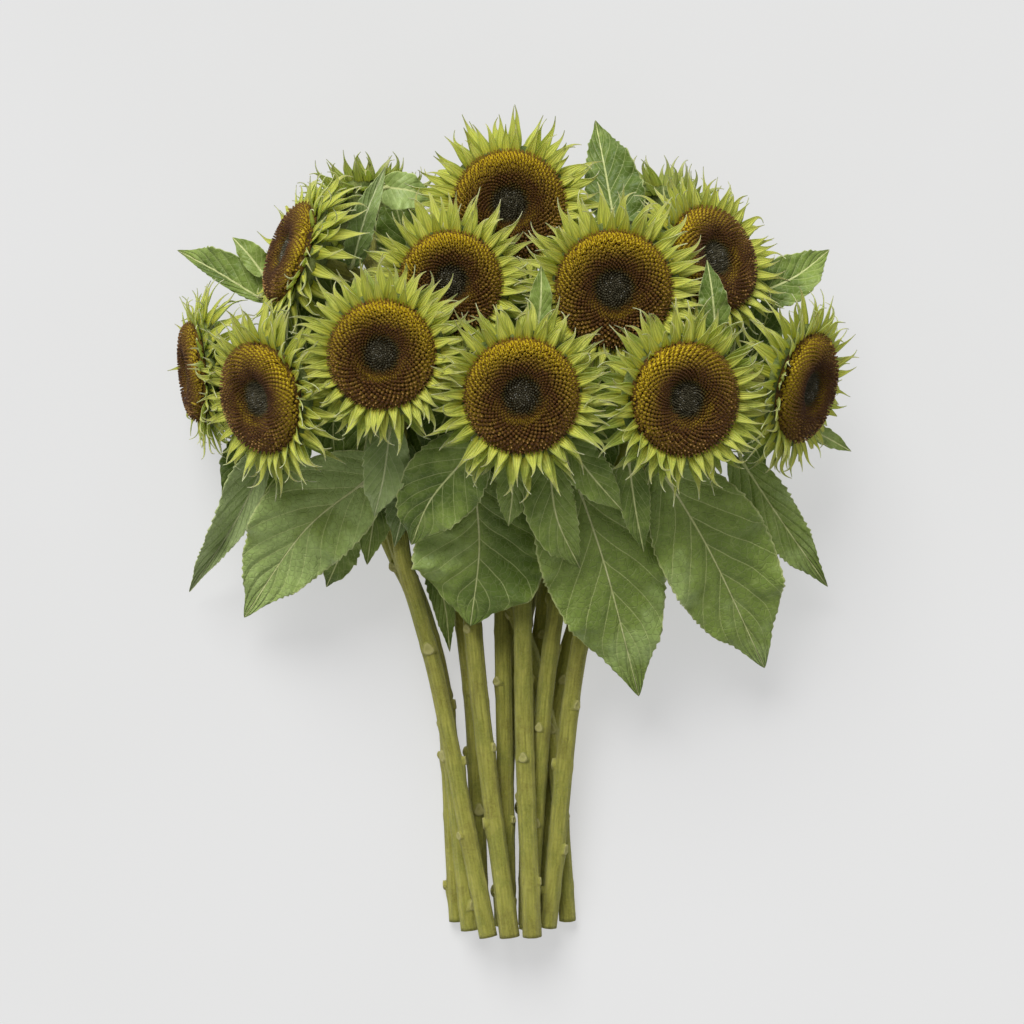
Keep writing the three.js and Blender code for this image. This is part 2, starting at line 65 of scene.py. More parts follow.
# ---------------------------------------------------------------- layout


@dataclass(frozen=True)
class HeadPlan:
    """Where one flower head stands, in millimetres."""

    name: str
    centre: tuple[float, float, float]  # middle of the disc's rim
    facing: tuple[float, float, float]
    disc: float  # radius of the disc
    stem: float  # radius of the stem at its cut end


HEADS = (
    HeadPlan("far_left", (-269, 142, 80), (-0.95, -0.1, 0.24), 46, 7.5),
    HeadPlan("left", (-205, 116, 168), (-0.68, -0.2, 0.7), 50, 8),
    HeadPlan("upper_left", (-182, 239, 135), (-0.88, 0.3, 0.36), 47, 8),
    HeadPlan("back_left", (-124, 283, 54), (-0.05, 0.72, -0.69), 37, 7.5),
    HeadPlan("front_left", (-104, 149, 208), (-0.14, 0.0, 0.99), 48, 8),
    HeadPlan("inner_left", (-49, 211, 172), (0.0, 0.05, 1.0), 46, 8.5),
    HeadPlan("front_middle", (10, 115, 217), (0.0, -0.04, 1.0), 50.5, 8.5),
    HeadPlan("top", (0, 279, 136), (0.0, 0.13, 0.99), 51, 8),
    HeadPlan("inner_right", (86, 204, 190), (0.04, -0.04, 1.0), 52, 8),
    HeadPlan("front_right", (143, 113, 204), (0.33, -0.08, 0.94), 50, 8),
    HeadPlan("upper_right", (170, 233, 141), (0.6, 0.22, 0.77), 49, 8),
    HeadPlan("far_right", (248, 126, 136), (0.82, -0.24, 0.52), 50, 8),
    HeadPlan("back_right", (140, 268, 59), (0.5, 0.6, -0.62), 44, 7.5),
)


class Side(Enum):
    """The two sides of a leaf."""

    UPPER = "upper"
    LOWER = "lower"


@dataclass(frozen=True)
class LeafPlan:
    """One leaf blade, in millimetres: the base, middle and tip of its midrib and its shape."""

    node: str
    rib: tuple[tuple[float, float, float], ...]
    half: tuple[float, float]  # widths left and right of the midrib
    fold: float = 0.2  # how far each half is raised from flat, in radians
    widest: float = 0.33  # share of the midrib where the blade is widest
    start: tuple[float, float, float] | None = None  # where its stalk leaves another leaf
    above: Side = Side.UPPER  # the side that the camera sees
    tone: float = 0.0  # about -1 for a deep green, about 1 for a light one; partly the leaf's own green and partly painted shade on leaves that lie in shade


LEAVES = (
    LeafPlan("upper_left", ((-214, 204, 84), (-254, 229, 76), (-292, 250, 52)), (8, 22), tone=-0.5),
    LeafPlan(
        "upper_left", ((-213, 226, 93), (-225, 242, 92), (-240, 258, 86)), (9, 13), start=(-216, 206, 84.8)
    ),
    LeafPlan(
        "hanging_left",
        ((-210, 65, 92), (-242, 7, 66), (-285, -51, 22)),
        (17, 28),
        fold=0.8,
        widest=0.25,
        above=Side.LOWER,
        tone=1.2,
    ),
    LeafPlan("big_left", ((-121, 48, 112), (-178, 3, 90), (-234, -73, 44)), (40, 48), tone=0.8),
    LeafPlan(
        "big_left",
        ((-139, 5, 86), (-149, -21, 72), (-161, -46, 52)),
        (16, 16),
        start=(-125, 45, 110.5),
        tone=-0.8,
    ),
    LeafPlan(
        "front_left",
        ((-100, 89, 160), (-106, 49, 150), (-115, 16, 128)),
        (20, 20),
        fold=0.3,
        above=Side.LOWER,
        tone=0.5,
    ),
    LeafPlan(
        "front_left",
        ((-88, 74, 131), (-89, 31, 121), (-99, -10, 98)),
        (14, 20),
        start=(-101, 84, 158.5),
        above=Side.LOWER,
        tone=-1.0,
    ),
    LeafPlan("middle_left", ((-31, 71, 168), (-66, 31, 150), (-84, -8, 118)), (34, 34), tone=-0.7),
    LeafPlan("middle", ((-29, 41, 130), (-26, -13, 110), (-34, -79, 76)), (60, 57), fold=-0.1, widest=0.5),
    LeafPlan("small_middle", ((3, 62, 172), (2, 31, 160), (-1, 8, 142)), (14, 14), tone=0.3),
    LeafPlan("middle_right", ((33, 59, 174), (40, 14, 162), (60, -28, 130)), (18, 26), tone=-0.2),
    LeafPlan("front_right", ((47, 77, 184), (71, 47, 178), (95, 21, 158)), (18, 18), tone=-0.1),
    LeafPlan("big_front", ((57, 46, 140), (83, -31, 116), (113, -141, 64)), (54, 54), fold=-0.05, tone=0.35),
    LeafPlan("narrow_right", ((100, 63, 158), (106, 22, 152), (114, -14, 132)), (14, 14), tone=-0.1),
    LeafPlan(
        "big_right",
        ((130, 53, 146), (173, -17, 114), (224, -117, 52)),
        (54, 45),
        fold=0.05,
        widest=0.42,
        tone=0.3,
    ),
    LeafPlan("low_right", ((198, 65, 112), (236, 12, 82), (281, -46, 40)), (19, 26), tone=0.4),
    LeafPlan("right_tip", ((257, 93, 84), (275, 85, 78), (299, 73, 62)), (8, 8)),
    LeafPlan(
        "upper_right", ((218, 210, 96), (249, 225, 88), (279, 249, 68)), (22, 21), widest=0.28, tone=-0.3
    ),
    LeafPlan("top", ((88, 273, 126), (81, 317, 112), (74, 359, 88)), (20, 30), widest=0.22, tone=-0.9),
    LeafPlan(
        "folded",
        ((-133, 232, 128), (-121, 272, 140), (-105, 313, 134)),
        (13, 13),
        fold=0.5,
        above=Side.LOWER,
    ),
    LeafPlan("top_left", ((-105, 298, 112), (-86, 295, 116), (-67, 290, 108)), (15, 20), tone=0.8),
    LeafPlan("tip_middle", ((24, 175, 196), (26, 198, 202), (26, 223, 204)), (10, 10), tone=0.5),
    LeafPlan(
        "tip_right", ((170, 176, 190), (167, 202, 196), (163, 228, 194)), (13, 13), widest=0.25, tone=-1.0
    ),
    LeafPlan("behind_stems", ((-68, -22, 52), (-57, -63, 43), (-53, -104, 31)), (10, 12), tone=-0.6),
)

# Small leaves deep in the bunch, seen between the heads: the midrib's three points, the two half widths
# and the tone of each, whose deep greens are partly painted shade. The part leaves them out.
INNER_LEAVES = tuple(
    LeafPlan("inner", tuple(rib), half, tone=tone)
    for *rib, half, tone in (
        ((-135, 168, 70), (-152, 205, 82), (-160, 262, 70), (30, 26), -0.9),
        ((-142, 140, 78), (-152, 98, 92), (-150, 52, 84), (26, 24), -0.9),
        ((-80, 232, 66), (-92, 262, 80), (-104, 306, 78), (26, 24), -0.6),
        ((196, 130, 60), (216, 168, 70), (232, 212, 62), (36, 24), -0.9),
        ((190, 108, 70), (206, 88, 84), (222, 58, 78), (20, 20), -0.8),
        ((-40, 128, 100), (-58, 94, 120), (-66, 60, 112), (26, 28), -1.0),
        ((44, 112, 100), (70, 84, 122), (82, 40, 116), (26, 30), -1.0),
        ((100, 150, 90), (96, 176, 104), (112, 222, 96), (28, 28), -1.0),
        ((-212, 92, 60), (-232, 66, 74), (-252, 34, 58), (18, 20), -0.8),
        ((-182, 78, 64), (-208, 46, 62), (-238, 4, 42), (20, 18), -0.7),
        ((-118, 118, 88), (-124, 80, 98), (-130, 38, 92), (26, 22), -1.0),
        ((-84, 112, 84), (-96, 78, 94), (-106, 30, 88), (22, 22), -1.0),
        ((10, 100, 110), (-4, 66, 124), (-14, 30, 116), (20, 20), -1.0),
        ((156, 108, 100), (150, 74, 112), (146, 40, 104), (22, 22), -1.0),
        ((66, 92, 88), (86, 116, 96), (104, 152, 88), (22, 22), -0.8),
        ((8, 158, 90), (14, 196, 98), (18, 238, 92), (24, 24), -0.8),
        ((-174, 148, 80), (-179, 180, 88), (-188, 218, 82), (22, 24), -0.8),
        ((-108, 62, 94), (-116, 22, 90), (-124, -26, 74), (20, 24), -0.4),
    )
)


def placed(point: Sequence[float]) -> Vector:
    """A measured point, in millimetres, as a place in the part's frame, in metres."""
    return Vector(point) * MM + BUNCH_SHIFT


# ---------------------------------------------------------------- shapes


class Route:
    """A smooth line through a few points, read by the share of its length."""

    SPAN_STEPS = 24
    NEAR = 0.01  # share of the length to either side over which a direction is taken

    def __init__(self, points: Sequence[Vector]) -> None:
        """Passes a curve through the points.

        Args:
            points: Three or more places in the order in which the line meets them.
        """
        ends = [2 * points[0] - points[1], *points, 2 * points[-1] - points[-2]]
        line = [points[0]]
        for a, b, c, d in zip(ends, ends[1:], ends[2:], ends[3:]):
            for step in range(1, self.SPAN_STEPS + 1):
                t = step / self.SPAN_STEPS
                bend = (2 * a - 5 * b + 4 * c - d) * t**2 + (3 * b - a - 3 * c + d) * t**3
                line.append(0.5 * (2 * b + (c - a) * t + bend))
        self._line = np.array(line)
        steps = np.linalg.norm(np.diff(self._line, axis=0), axis=1)
        self._reach = np.concatenate(([0.0], np.cumsum(steps)))
        self.length = float(self._reach[-1])

    def at(self, share: float) -> Vector:
        """The place at a share of the length, carried on straight beyond either end."""
        inside = min(max(share, 0.0), 1.0)
        reach = inside * self.length
        point = Vector([float(np.interp(reach, self._reach, self._line[:, k])) for k in range(3)])
        return point if inside == share else point + (share - inside) * self.length * self.along(inside)

    def along(self, share: float) -> Vector:
        """The direction of the line at a share of its length."""
        low, high = max(share - self.NEAR, 0.0), min(share + self.NEAR, 1.0)
        return (self.at(high) - self.at(low)).normalized()

    def nearest(self, point: Vector) -> Vector:
        """The place on the line that is nearest to a point."""
        gaps = np.linalg.norm(self._line - np.array(point), axis=1)
        return Vector(self._line[int(gaps.argmin())])


def unit_sheet(columns: int, rows: int) -> BMesh:
    """A flat sheet, x from -1 to 1 across and y from 0 to 1 along, with a UV map.

    Args:
        columns: Number of faces across.
        rows: Number of faces along.

    Returns:
        The new bmesh.
    """
    bm = bmesh.new()
    bm.loops.layers.uv.new("UVMap")
    bmesh.ops.create_grid(bm, x_segments=columns, y_segments=rows, size=1.0, calc_uvs=True)
    bmesh.ops.translate(bm, verts=bm.verts, vec=(0.0, 1.0, 0.0))
    bmesh.ops.scale(bm, verts=bm.verts, vec=(1.0, 0.5, 1.0))
    return bm


def turned(profile: Sequence[tuple[float, float]], steps: int) -> BMesh:
    """A closed shape turned round the Y axis.

    Args:
        profile: Radius and height of each corner, from one end on the axis to the other.
        steps: Number of sides.

    Returns:
        The new bmesh.
    """
    bm = bmesh.new()
    corners = [bm.verts.new((radius, height, 0.0)) for radius, height in profile]
    edges = [bm.edges.new(pair) for pair in zip(corners, corners[1:])]
    geom = [*corners, *edges]
    bmesh.ops.spin(bm, geom=geom, cent=(0, 0, 0), axis=(0, 1, 0), angle=TURN, steps=steps, use_merge=True)
    bmesh.ops.remove_doubles(bm, verts=bm.verts, dist=SAME_PLACE)
    bmesh.ops.recalc_face_normals(bm, faces=bm.faces)
    return bm


def paint_faces(faces: Iterable[BMFace], material: int) -> None:
    """Gives faces a material number."""
    for face in faces:
        face.material_index = material


def thicken(bm: BMesh, thickness: float, shown: int, hidden: int) -> None:
    """Makes a sheet a thin solid behind its faces, with a material for its front and one for the rest.

    Args:
        bm: The sheet, laid out.
        thickness: Of the solid, in metres.
        shown: Material number of the front.
        hidden: Material number of the back and the edges.
    """
    bm.normal_update()
    front = list(bm.faces)
    bmesh.ops.solidify(bm, geom=front, thickness=thickness)
    paint_faces(bm.faces, hidden)
    paint_faces(front, shown)


def pour(source: BMesh, target: BMesh) -> None:
    """Adds one bmesh to another and frees it."""
    mesh = bpy.data.meshes.new("poured")
    source.to_mesh(mesh)
    source.free()
    target.from_mesh(mesh)
    bpy.data.meshes.remove(mesh)


def pour_placed(source: BMesh, target: BMesh, matrix: Matrix, material: int) -> None:
    """Moves a bmesh, gives its faces a material number and adds it to another."""
    bmesh.ops.transform(source, matrix=matrix, verts=source.verts)
    paint_faces(source.faces, material)
    pour(source, target)


def repeated(source: BMesh, count: int) -> tuple[BMesh, int]:
    """A bmesh that holds all of another one many times, one copy after another.

    Args:
        source: The bmesh that is copied, which is freed.
        count: Number of copies.

    Returns:
        The new bmesh, and the number of vertices of one copy.
    """
    bm = bmesh.new()
    pour(source, bm)
    one = (len(bm.verts), len(bm.edges), len(bm.faces))
    made = 1
    while made < count:
        take = min(made, count - made)
        geom = [
            element
            for elements, each in zip((bm.verts, bm.edges, bm.faces), one)
            for element in list(elements)[: take * each]
        ]
        bmesh.ops.duplicate(bm, geom=geom)
        made += take
    return bm, one[0]


def smoothstep(low: float, high: float, value: float) -> float:
    """How far a value has come from low to high, from 0 to 1, with soft ends."""
    t = min(max((value - low) / (high - low), 0.0), 1.0)
    return t * t * (3 - 2 * t)


def finish_piece(
    name: str,
    bm: BMesh,
    materials: Sequence[Material],
    replaced: str | None,
) -> Object:
    """Makes a bmesh a smooth piece of the bunch, which may stand for a node of the part.

    Args:
        name: The piece's name.
        bm: Its shape, which is freed.
        materials: Its materials, in the order of its faces' material numbers.
        replaced: The node that it stands for, or None for a piece that the part leaves out.

    Returns:
        The new object.
    """
    for corner in bm.verts:
        if corner.co.z < CLEARANCE:
            corner.co.z = CLEARANCE
    mesh = bpy.data.meshes.new(name)
    bm.to_mesh(mesh)
    bm.free()
    mesh.shade_smooth()
    for material in materials:
        mesh.materials.append(material)
    piece = bpy.data.objects.new(name, mesh)
    bpy.context.scene.collection.objects.link(piece)
    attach(piece, "root")
    if replaced:
        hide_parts(replaced)
    log.info("%s: %d faces, stands for %s", name, len(mesh.polygons), replaced)
    return piece


# ---------------------------------------------------------------- finishes

MIX_A, MIX_B, MIX_RESULT = 6, 7, 2  # numbers of the Mix node's sockets for colours
VEIN_COUNT = 7.0  # side veins along a leaf's midrib
VEIN_LEAN = 0.36  # how far a side vein runs ahead of its root by the leaf's edge, over the midrib's length
VEIN_BEND = 0.85  # 1 for side veins that run straight, less for ones that bend ahead


class Nodes:
    """Adds shader nodes to a tree and joins them."""

    def __init__(self, tree: NodeTree) -> None:
        """Takes the tree that the nodes go into."""
        self.tree = tree

    def add(self, kind: str, inputs: dict | None = None, **settings: object) -> Node:
        """Adds a node.

        Args:
            kind: The node's type, without the word ShaderNode.
            inputs: Values, or sockets of other nodes, by the name or number of the input.
            **settings: The node's own properties.

        Returns:
            The new node.
        """
        node = self.tree.nodes.new("ShaderNode" + kind)
        for key, value in settings.items():
            setattr(node, key, value)
        for key, value in (inputs or {}).items():
            self.put(node.inputs[key], value)
        return node

    def put(self, socket: NodeSocket, value: object) -> None:
        """Gives an input a value, or joins it to another node's output."""
        if isinstance(value, NodeSocket):
            self.tree.links.new(value, socket)
        else:
            socket.default_value = value

    def math(self, operation: str, a: object, b: object = 0.0, c: object = 0.0) -> NodeSocket:
        """The result of a Math node."""
        return self.add("Math", {0: a, 1: b, 2: c}, operation=operation).outputs[0]

    def times(self, a: object, b: object, plus: object = None) -> NodeSocket:
        """One value times another, with a third added to it if there is one."""
        return self.math("MULTIPLY", a, b) if plus is None else self.math("MULTIPLY_ADD", a, b, plus)

    def between(self, value: object, low: object, high: object) -> NodeSocket:
        """How far a value has come from low to high, from 0 to 1, with soft ends."""
        inputs = {"Value": value, "From Min": low, "From Max": high}
        return self.add("MapRange", inputs, interpolation_type="SMOOTHSTEP").outputs["Result"]

    def mix(self, share: object, a: object, b: object) -> NodeSocket:
        """Colour a turned into colour b by a share."""
        return self.add("Mix", {"Factor": share, MIX_A: a, MIX_B: b}, data_type="RGBA").outputs[MIX_RESULT]

    def tint(self, base: object, over: object, mask: object, strength: float) -> NodeSocket:
        """A base colour with another one laid over it where a mask says."""
        return self.mix(self.times(mask, strength), base, over)

    def noise(self, where: object, scale: object, detail: float = 2.0) -> NodeSocket:
        """Noise from 0 to 1."""
        return self.add("TexNoise", {"Vector": where, "Scale": scale, "Detail": detail}).outputs["Fac"]

    def attribute(self, name: str) -> NodeSocket:
        """A number that the mesh carries."""
        return self.add("Attribute", attribute_name=name).outputs["Fac"]

    def on_blade(self, uv: NodeSocket) -> tuple[NodeSocket, NodeSocket]:
        """How far a place lies from a blade's midline and along it, each from 0 to 1, by its UV map."""
        place = self.add("SeparateXYZ", {"Vector": uv}).outputs
        return self.math("ABSOLUTE", self.times(place["X"], 2.0, -1.0)), place["Y"]

    def group(self, tree: NodeTree, inputs: dict) -> Node:
        """Places a node group."""
        node = self.add("Group")
        node.node_tree = tree
        for key, value in inputs.items():
            self.put(node.inputs[key], value)
        return node


class Effect:
    """Shader effects that several finishes share, each built once as a node group."""

    _built: dict[str, NodeTree] = {}

    @classmethod
    def _group(
        cls,
        name: str,
        places: Sequence[str],
        numbers: Sequence[str],
        results: Sequence[str],
        fill: Callable[[Nodes, Node, Node], None],
    ) -> NodeTree:
        """Builds a node group at its first use and gives it back at every later one.

        Args:
            name: The group's name.
            places: Names of the inputs that are coordinates.
            numbers: Names of the inputs that are numbers.
            results: Names of the outputs, which are numbers.
            fill: Adds the nodes between the group's input and output nodes.

        Returns:
            The node group.
        """
        if name not in cls._built:
            tree = bpy.data.node_groups.new(name, "ShaderNodeTree")
            rows = ((places, "INPUT", "Vector"), (numbers, "INPUT", "Float"), (results, "OUTPUT", "Float"))
            for names, way, kind in rows:
                for socket in names:
                    tree.interface.new_socket(socket, in_out=way, socket_type="NodeSocket" + kind)
            fill(Nodes(tree), tree.nodes.new("NodeGroupInput"), tree.nodes.new("NodeGroupOutput"))
            cls._built[name] = tree
        return cls._built[name]

    @classmethod
    def mottle(cls) -> NodeTree:
        """Soft blotches with a finer speckle on them, from 0 to 1."""

        def fill(nodes: Nodes, given: Node, out: Node) -> None:
            """Adds the nodes that the group holds."""
            where, scale, speckle = (given.outputs[name] for name in ("Where", "Scale", "Speckle"))
            blotch = nodes.noise(where, scale, 3.0)
            speck = nodes.noise(where, nodes.times(scale, 6.0))
            level = nodes.times(speckle, -0.5, nodes.times(speck, speckle, blotch))
            nodes.put(out.inputs["Amount"], nodes.between(level, 0.3, 0.7))

        return cls._group("mottle", ("Where",), ("Scale", "Speckle"), ("Amount",), fill)

    @classmethod
    def fine_ribs(cls) -> NodeTree:
        """Fine ribs along a stem or a bract: a height from 0 to 1, from its UV map."""

        def fill(nodes: Nodes, given: Node, out: Node) -> None:
            """Adds the nodes that the group holds."""
            around = nodes.add("SeparateXYZ", {"Vector": given.outputs["UV"]}).outputs["X"]
            drift = nodes.noise(given.outputs["Where"], 90.0)
            turns = nodes.times(nodes.times(drift, 0.05, around), given.outputs["Count"])
            wave = nodes.math("SINE", nodes.times(turns, TURN))
            nodes.put(out.inputs["Height"], nodes.times(wave, 0.5, 0.5))

        return cls._group("fine ribs", ("UV", "Where"), ("Count",), ("Height",), fill)

    @classmethod
    def leaf_veins(cls) -> NodeTree:
        """The veins of a leaf: where they run, and how the blade swells between them."""

        def fill(nodes: Nodes, given: Node, out: Node) -> None:
            """Adds the nodes that the group holds."""
            aside, along = nodes.on_blade(given.outputs["UV"])
            wobble = nodes.noise(given.outputs["Where"], 35.0)
            lean = nodes.times(nodes.math("POWER", aside, VEIN_BEND), VEIN_LEAN)
            place = nodes.times(wobble, 0.03, nodes.math("SUBTRACT", along, lean))
            cycle = nodes.math("FRACT", nodes.times(place, VEIN_COUNT))
            off_vein = nodes.math("ABSOLUTE", nodes.math("SUBTRACT", cycle, 0.5))
            width = nodes.times(aside, -0.03, 0.05)
            side = nodes.times(nodes.between(off_vein, width, 0.0), nodes.between(along, 1.0, 0.8))
            rib_width = nodes.times(along, -0.0008, 0.0014)
            rib_reach = nodes.math("ABSOLUTE", given.outputs["From Rib"])
            rib = nodes.between(rib_reach, rib_width, nodes.times(rib_width, 0.4))
            cells = {"Vector": given.outputs["Where"], "Scale": 190.0}
            cell_edge = nodes.add("TexVoronoi", cells, feature="DISTANCE_TO_EDGE").outputs["Distance"]
            net = nodes.between(cell_edge, 0.10, 0.0)
            margin = nodes.times(nodes.between(aside, 0.955, 1.0), 0.7)
            vein = nodes.math("MAXIMUM", rib, nodes.times(side, 0.62))
            nodes.put(out.inputs["Vein"], nodes.math("MAXIMUM", vein, margin))
            nodes.put(out.inputs["Net"], net)
            swell = nodes.times(nodes.math("MINIMUM", off_vein, 0.3), 3.0)
            swell = nodes.times(net, -0.25, swell)
            nodes.put(out.inputs["Swell"], nodes.times(rib, -0.4, swell))

        return cls._group("leaf veins", ("UV", "Where"), ("From Rib",), ("Vein", "Net", "Swell"), fill)


Colour = tuple[float, float, float, float]


def colour(red: int, green: int, blue: int) -> Colour:
    """A colour as the screen shows it, 0 to 255, as the linear values that shaders take."""
    shown = (red / 255, green / 255, blue / 255)
    return (*(c / 12.92 if c <= 0.04045 else ((c + 0.055) / 1.055) ** 2.4 for c in shown), 1.0)


class Surface:
    """A material with a Principled shader, its nodes and the places that its patterns read."""

    def __init__(self, name: str, roughness: float, **constants: float | tuple[float, ...]) -> None:
        """Makes the material.

        Args:
            name: The material's name.
            roughness: Its roughness.
            **constants: Other inputs of the shader, with underscores for spaces.
        """
        self.material = bpy.data.materials.new(name)
        self.material.use_nodes = True
        tree = self.material.node_tree
        self.shader = tree.nodes["Principled BSDF"]
        for key, value in {"Roughness": roughness, "Specular_IOR_Level": 0.22, **constants}.items():
            self.shader.inputs[key.replace("_", " ")].default_value = value
        self.nodes = Nodes(tree)
        coordinate = self.nodes.add("TexCoord")
        self.where = coordinate.outputs["Object"]
        self.uv = coordinate.outputs["UV"]

    def paint(self, value: NodeSocket) -> None:
        """Gives the surface its colour."""
        self.nodes.put(self.shader.inputs["Base Color"], value)

    def relief(self, height: NodeSocket, depth: float) -> None:
        """Gives the surface a fine relief of a depth in metres."""
        bump = self.nodes.add("Bump", {"Height": height, "Distance": depth, "Strength": 1.0})
        self.nodes.put(self.shader.inputs["Normal"], bump.outputs["Normal"])

    def mottle(self, scale: float, speckle: float) -> NodeSocket:
        """Blotches on the surface, from 0 to 1."""
        inputs = {"Where": self.where, "Scale": scale, "Speckle": speckle}
        return self.nodes.group(Effect.mottle(), inputs).outputs["Amount"]

    def ribs(self, count: float) -> NodeSocket:
        """Height of fine ribs along the surface, from 0 to 1."""
        inputs = {"UV": self.uv, "Where": self.where, "Count": count}
        return self.nodes.group(Effect.fine_ribs(), inputs).outputs["Height"]


@dataclass(frozen=True)
class MottledFinish:
    """A plain finish: one colour with soft blotches of another."""

    name: str
    roughness: float
    main: Colour
    blotch: Colour
    scale: float
    speckle: float
    grain: float = 0.0  # scale of the relief
    depth: float = 0.0  # of the relief, in metres
    glow: float = 0.0  # white light from within

    def build(self) -> Material:
        """The material."""
        light = {"Emission_Color": (1.0, 1.0, 1.0, 1.0), "Emission_Strength": self.glow}
        surface = Surface(self.name, self.roughness, **light)
        surface.paint(surface.nodes.mix(surface.mottle(self.scale, self.speckle), self.main, self.blotch))
        if self.depth:
            surface.relief(surface.mottle(self.grain, 1.0), self.depth)
        return surface.material


RECEPTACLE = MottledFinish(
    "receptacle", 0.6, colour(98, 116, 56), colour(146, 156, 88), 70.0, 0.7, grain=500.0, depth=0.4 * MM
)
FLORET_GROUND = MottledFinish("floret ground", 0.8, colour(104, 78, 12), colour(48, 30, 8), 120.0, 1.0)
PITH = MottledFinish(
    "cut pith", 0.7, colour(206, 208, 168), colour(164, 170, 110), 500.0, 1.0, grain=900.0, depth=0.4 * MM
)
STALK = MottledFinish(
    "leaf stalk", 0.5, colour(244, 246, 186), colour(216, 224, 146), 60.0, 0.5, grain=700.0, depth=0.3 * MM
)
HAIR = MottledFinish("hair", 0.5, colour(214, 216, 180), colour(176, 178, 120), 300.0, 0.5)
# The table is lit from within so that the shadows on it stay soft.
TABLE = MottledFinish("table", 0.8, colour(140, 140, 139), colour(144, 144, 144), 1.5, 0.1, glow=0.5)


@dataclass(frozen=True)
class FloretFinish:
    """Florets: a golden or brown shoulder under a dark style, and grey buds in the middle of the disc. The
    shoulders are golden partly by their own colour and partly as painted light on the side that faces the
    light, and brown as painted shade on the far side.
    """

    # Golden colours show where the painted light falls on the disc, brown ones where the painted shade falls.
    foot: Colour = colour(118, 96, 26)
    painted_lit_gold: Colour = colour(244, 218, 50)
    painted_lit_gold_foot: Colour = colour(206, 178, 40)
    brown: Colour = colour(124, 86, 40)
    style: Colour = colour(106, 72, 38)
    style_top: Colour = colour(84, 56, 38)
    # The styles turn amber where the painted light falls; tan tips stand on the rim where the painted shade
    # is.
    painted_lit_amber: Colour = colour(174, 134, 40)
    tan: Colour = colour(196, 150, 88)
    bud: Colour = colour(66, 62, 42)
    bud_light: Colour = colour(108, 102, 80)
    bud_edge: Colour = colour(104, 92, 36)
    speck: Colour = colour(190, 190, 184)

    def build(self) -> Material:
        """The material, which reads from the mesh height, share, chance and how golden each floret is, which
        paints light and shade.
        """
        surface = Surface("floret", 0.6)
        nodes = surface.nodes
        names = ("height", "share", "painted_lit_gold", "chance")
        height, share, painted_lit_gold, chance = (nodes.attribute(name) for name in names)
        # Painted light and shade: the shoulder and foot are golden where the painted light falls and brown in
        # the painted shade.
        shoulder = nodes.mix(painted_lit_gold, self.brown, self.painted_lit_gold)
        foot = nodes.mix(painted_lit_gold, self.foot, self.painted_lit_gold_foot)
        body = nodes.mix(nodes.between(height, 0.3, 0.5), foot, shoulder)
        style = nodes.mix(nodes.between(height, 0.72, 0.95), self.style, self.style_top)
        # Painted light: the styles turn amber where the painted light falls.
        style = nodes.tint(style, self.painted_lit_amber, painted_lit_gold, 0.7)
        # Tan tips on the rim where the painted shade is.
        tan_tips = nodes.times(nodes.between(share, 0.5, 0.8), nodes.between(painted_lit_gold, 0.5, 0.1))
        tan_tips = nodes.times(tan_tips, nodes.between(chance, 0.35, 0.8))
        style = nodes.mix(nodes.times(tan_tips, nodes.between(height, 0.8, 0.98)), style, self.tan)
        open_floret = nodes.mix(nodes.between(height, 0.68, 0.74), body, style)
        middle = nodes.mix(nodes.between(chance, 0.1, 0.9), self.bud, self.bud_light)
        budding = nodes.mix(nodes.between(share, 0.24, 0.33), middle, self.bud_edge)
        pale = nodes.times(nodes.between(chance, 0.86, 0.95), nodes.between(height, 0.85, 1.0))
        pale = nodes.times(pale, nodes.between(share, 0.26, 0.14))
        bud = nodes.mix(pale, budding, self.speck)
        shut = nodes.between(nodes.times(chance, 0.06, share), 0.38, 0.30)
        surface.paint(nodes.mix(shut, open_floret, bud))
        surface.relief(surface.mottle(900.0, 1.0), 0.2 * MM)
        return surface.material


@dataclass(frozen=True)
class BractFinish:
    """One side of the bracts: green, greyer in the outer rows, pale at the tip, with painted shade where they
    overlap and in the grooves between their ribs.
    """

    side: Side
    lime: Colour
    leafy: Colour
    root: Colour
    tip: Colour
    # darkens the grooves between the ribs, as painted shade
    line: Colour
    # painted shade where the bracts overlap
    shade: Colour
    light_through: tuple[float, float, float] = (0.7, 1.0, 0.35)  # how far red, green and blue light spreads
    ribs: float = 4.0

    def build(self) -> Material:
        """The material, which reads tone from the mesh, and the bract's length and width from its UV map."""
        surface = Surface(
            f"bract {self.side.value} side",
            0.5,
            Subsurface_Weight=0.35,
            Subsurface_Scale=6 * MM,
            Subsurface_Radius=self.light_through,
        )
        nodes = surface.nodes
        aside, along = nodes.on_blade(surface.uv)
        # The tone holds the row's own green and painted light and shade: limier on the side that faces the
        # light, on heads that face aside or away and on the heads that stood highest, leafier nearer the cut
        # ends.
        tone = nodes.times(surface.mottle(60.0, 0.6), 0.45, nodes.attribute("tone"))
        base = nodes.mix(nodes.between(tone, 0.1, 1.1), self.lime, self.leafy)
        base = nodes.tint(base, self.root, nodes.between(along, 0.38, 0.0), 0.85)
        base = nodes.tint(base, self.tip, nodes.between(along, 0.5, 1.0), 0.68)
        # Painted shade along the edges near the root, where the bracts overlap.
        overlap_shade = nodes.times(nodes.between(aside, 0.4, 1.0), nodes.between(along, 0.8, 0.25))
        overlap_shade = nodes.times(overlap_shade, nodes.between(along, -0.05, 0.2))
        base = nodes.tint(base, self.shade, overlap_shade, 0.65)
        ribs = surface.ribs(self.ribs)
        # Painted shade: the line colour darkens the grooves between the ribs.
        surface.paint(nodes.tint(base, self.line, nodes.between(ribs, 0.6, 0.0), 0.33))
        surface.relief(ribs, 0.3 * MM)
        return surface.material


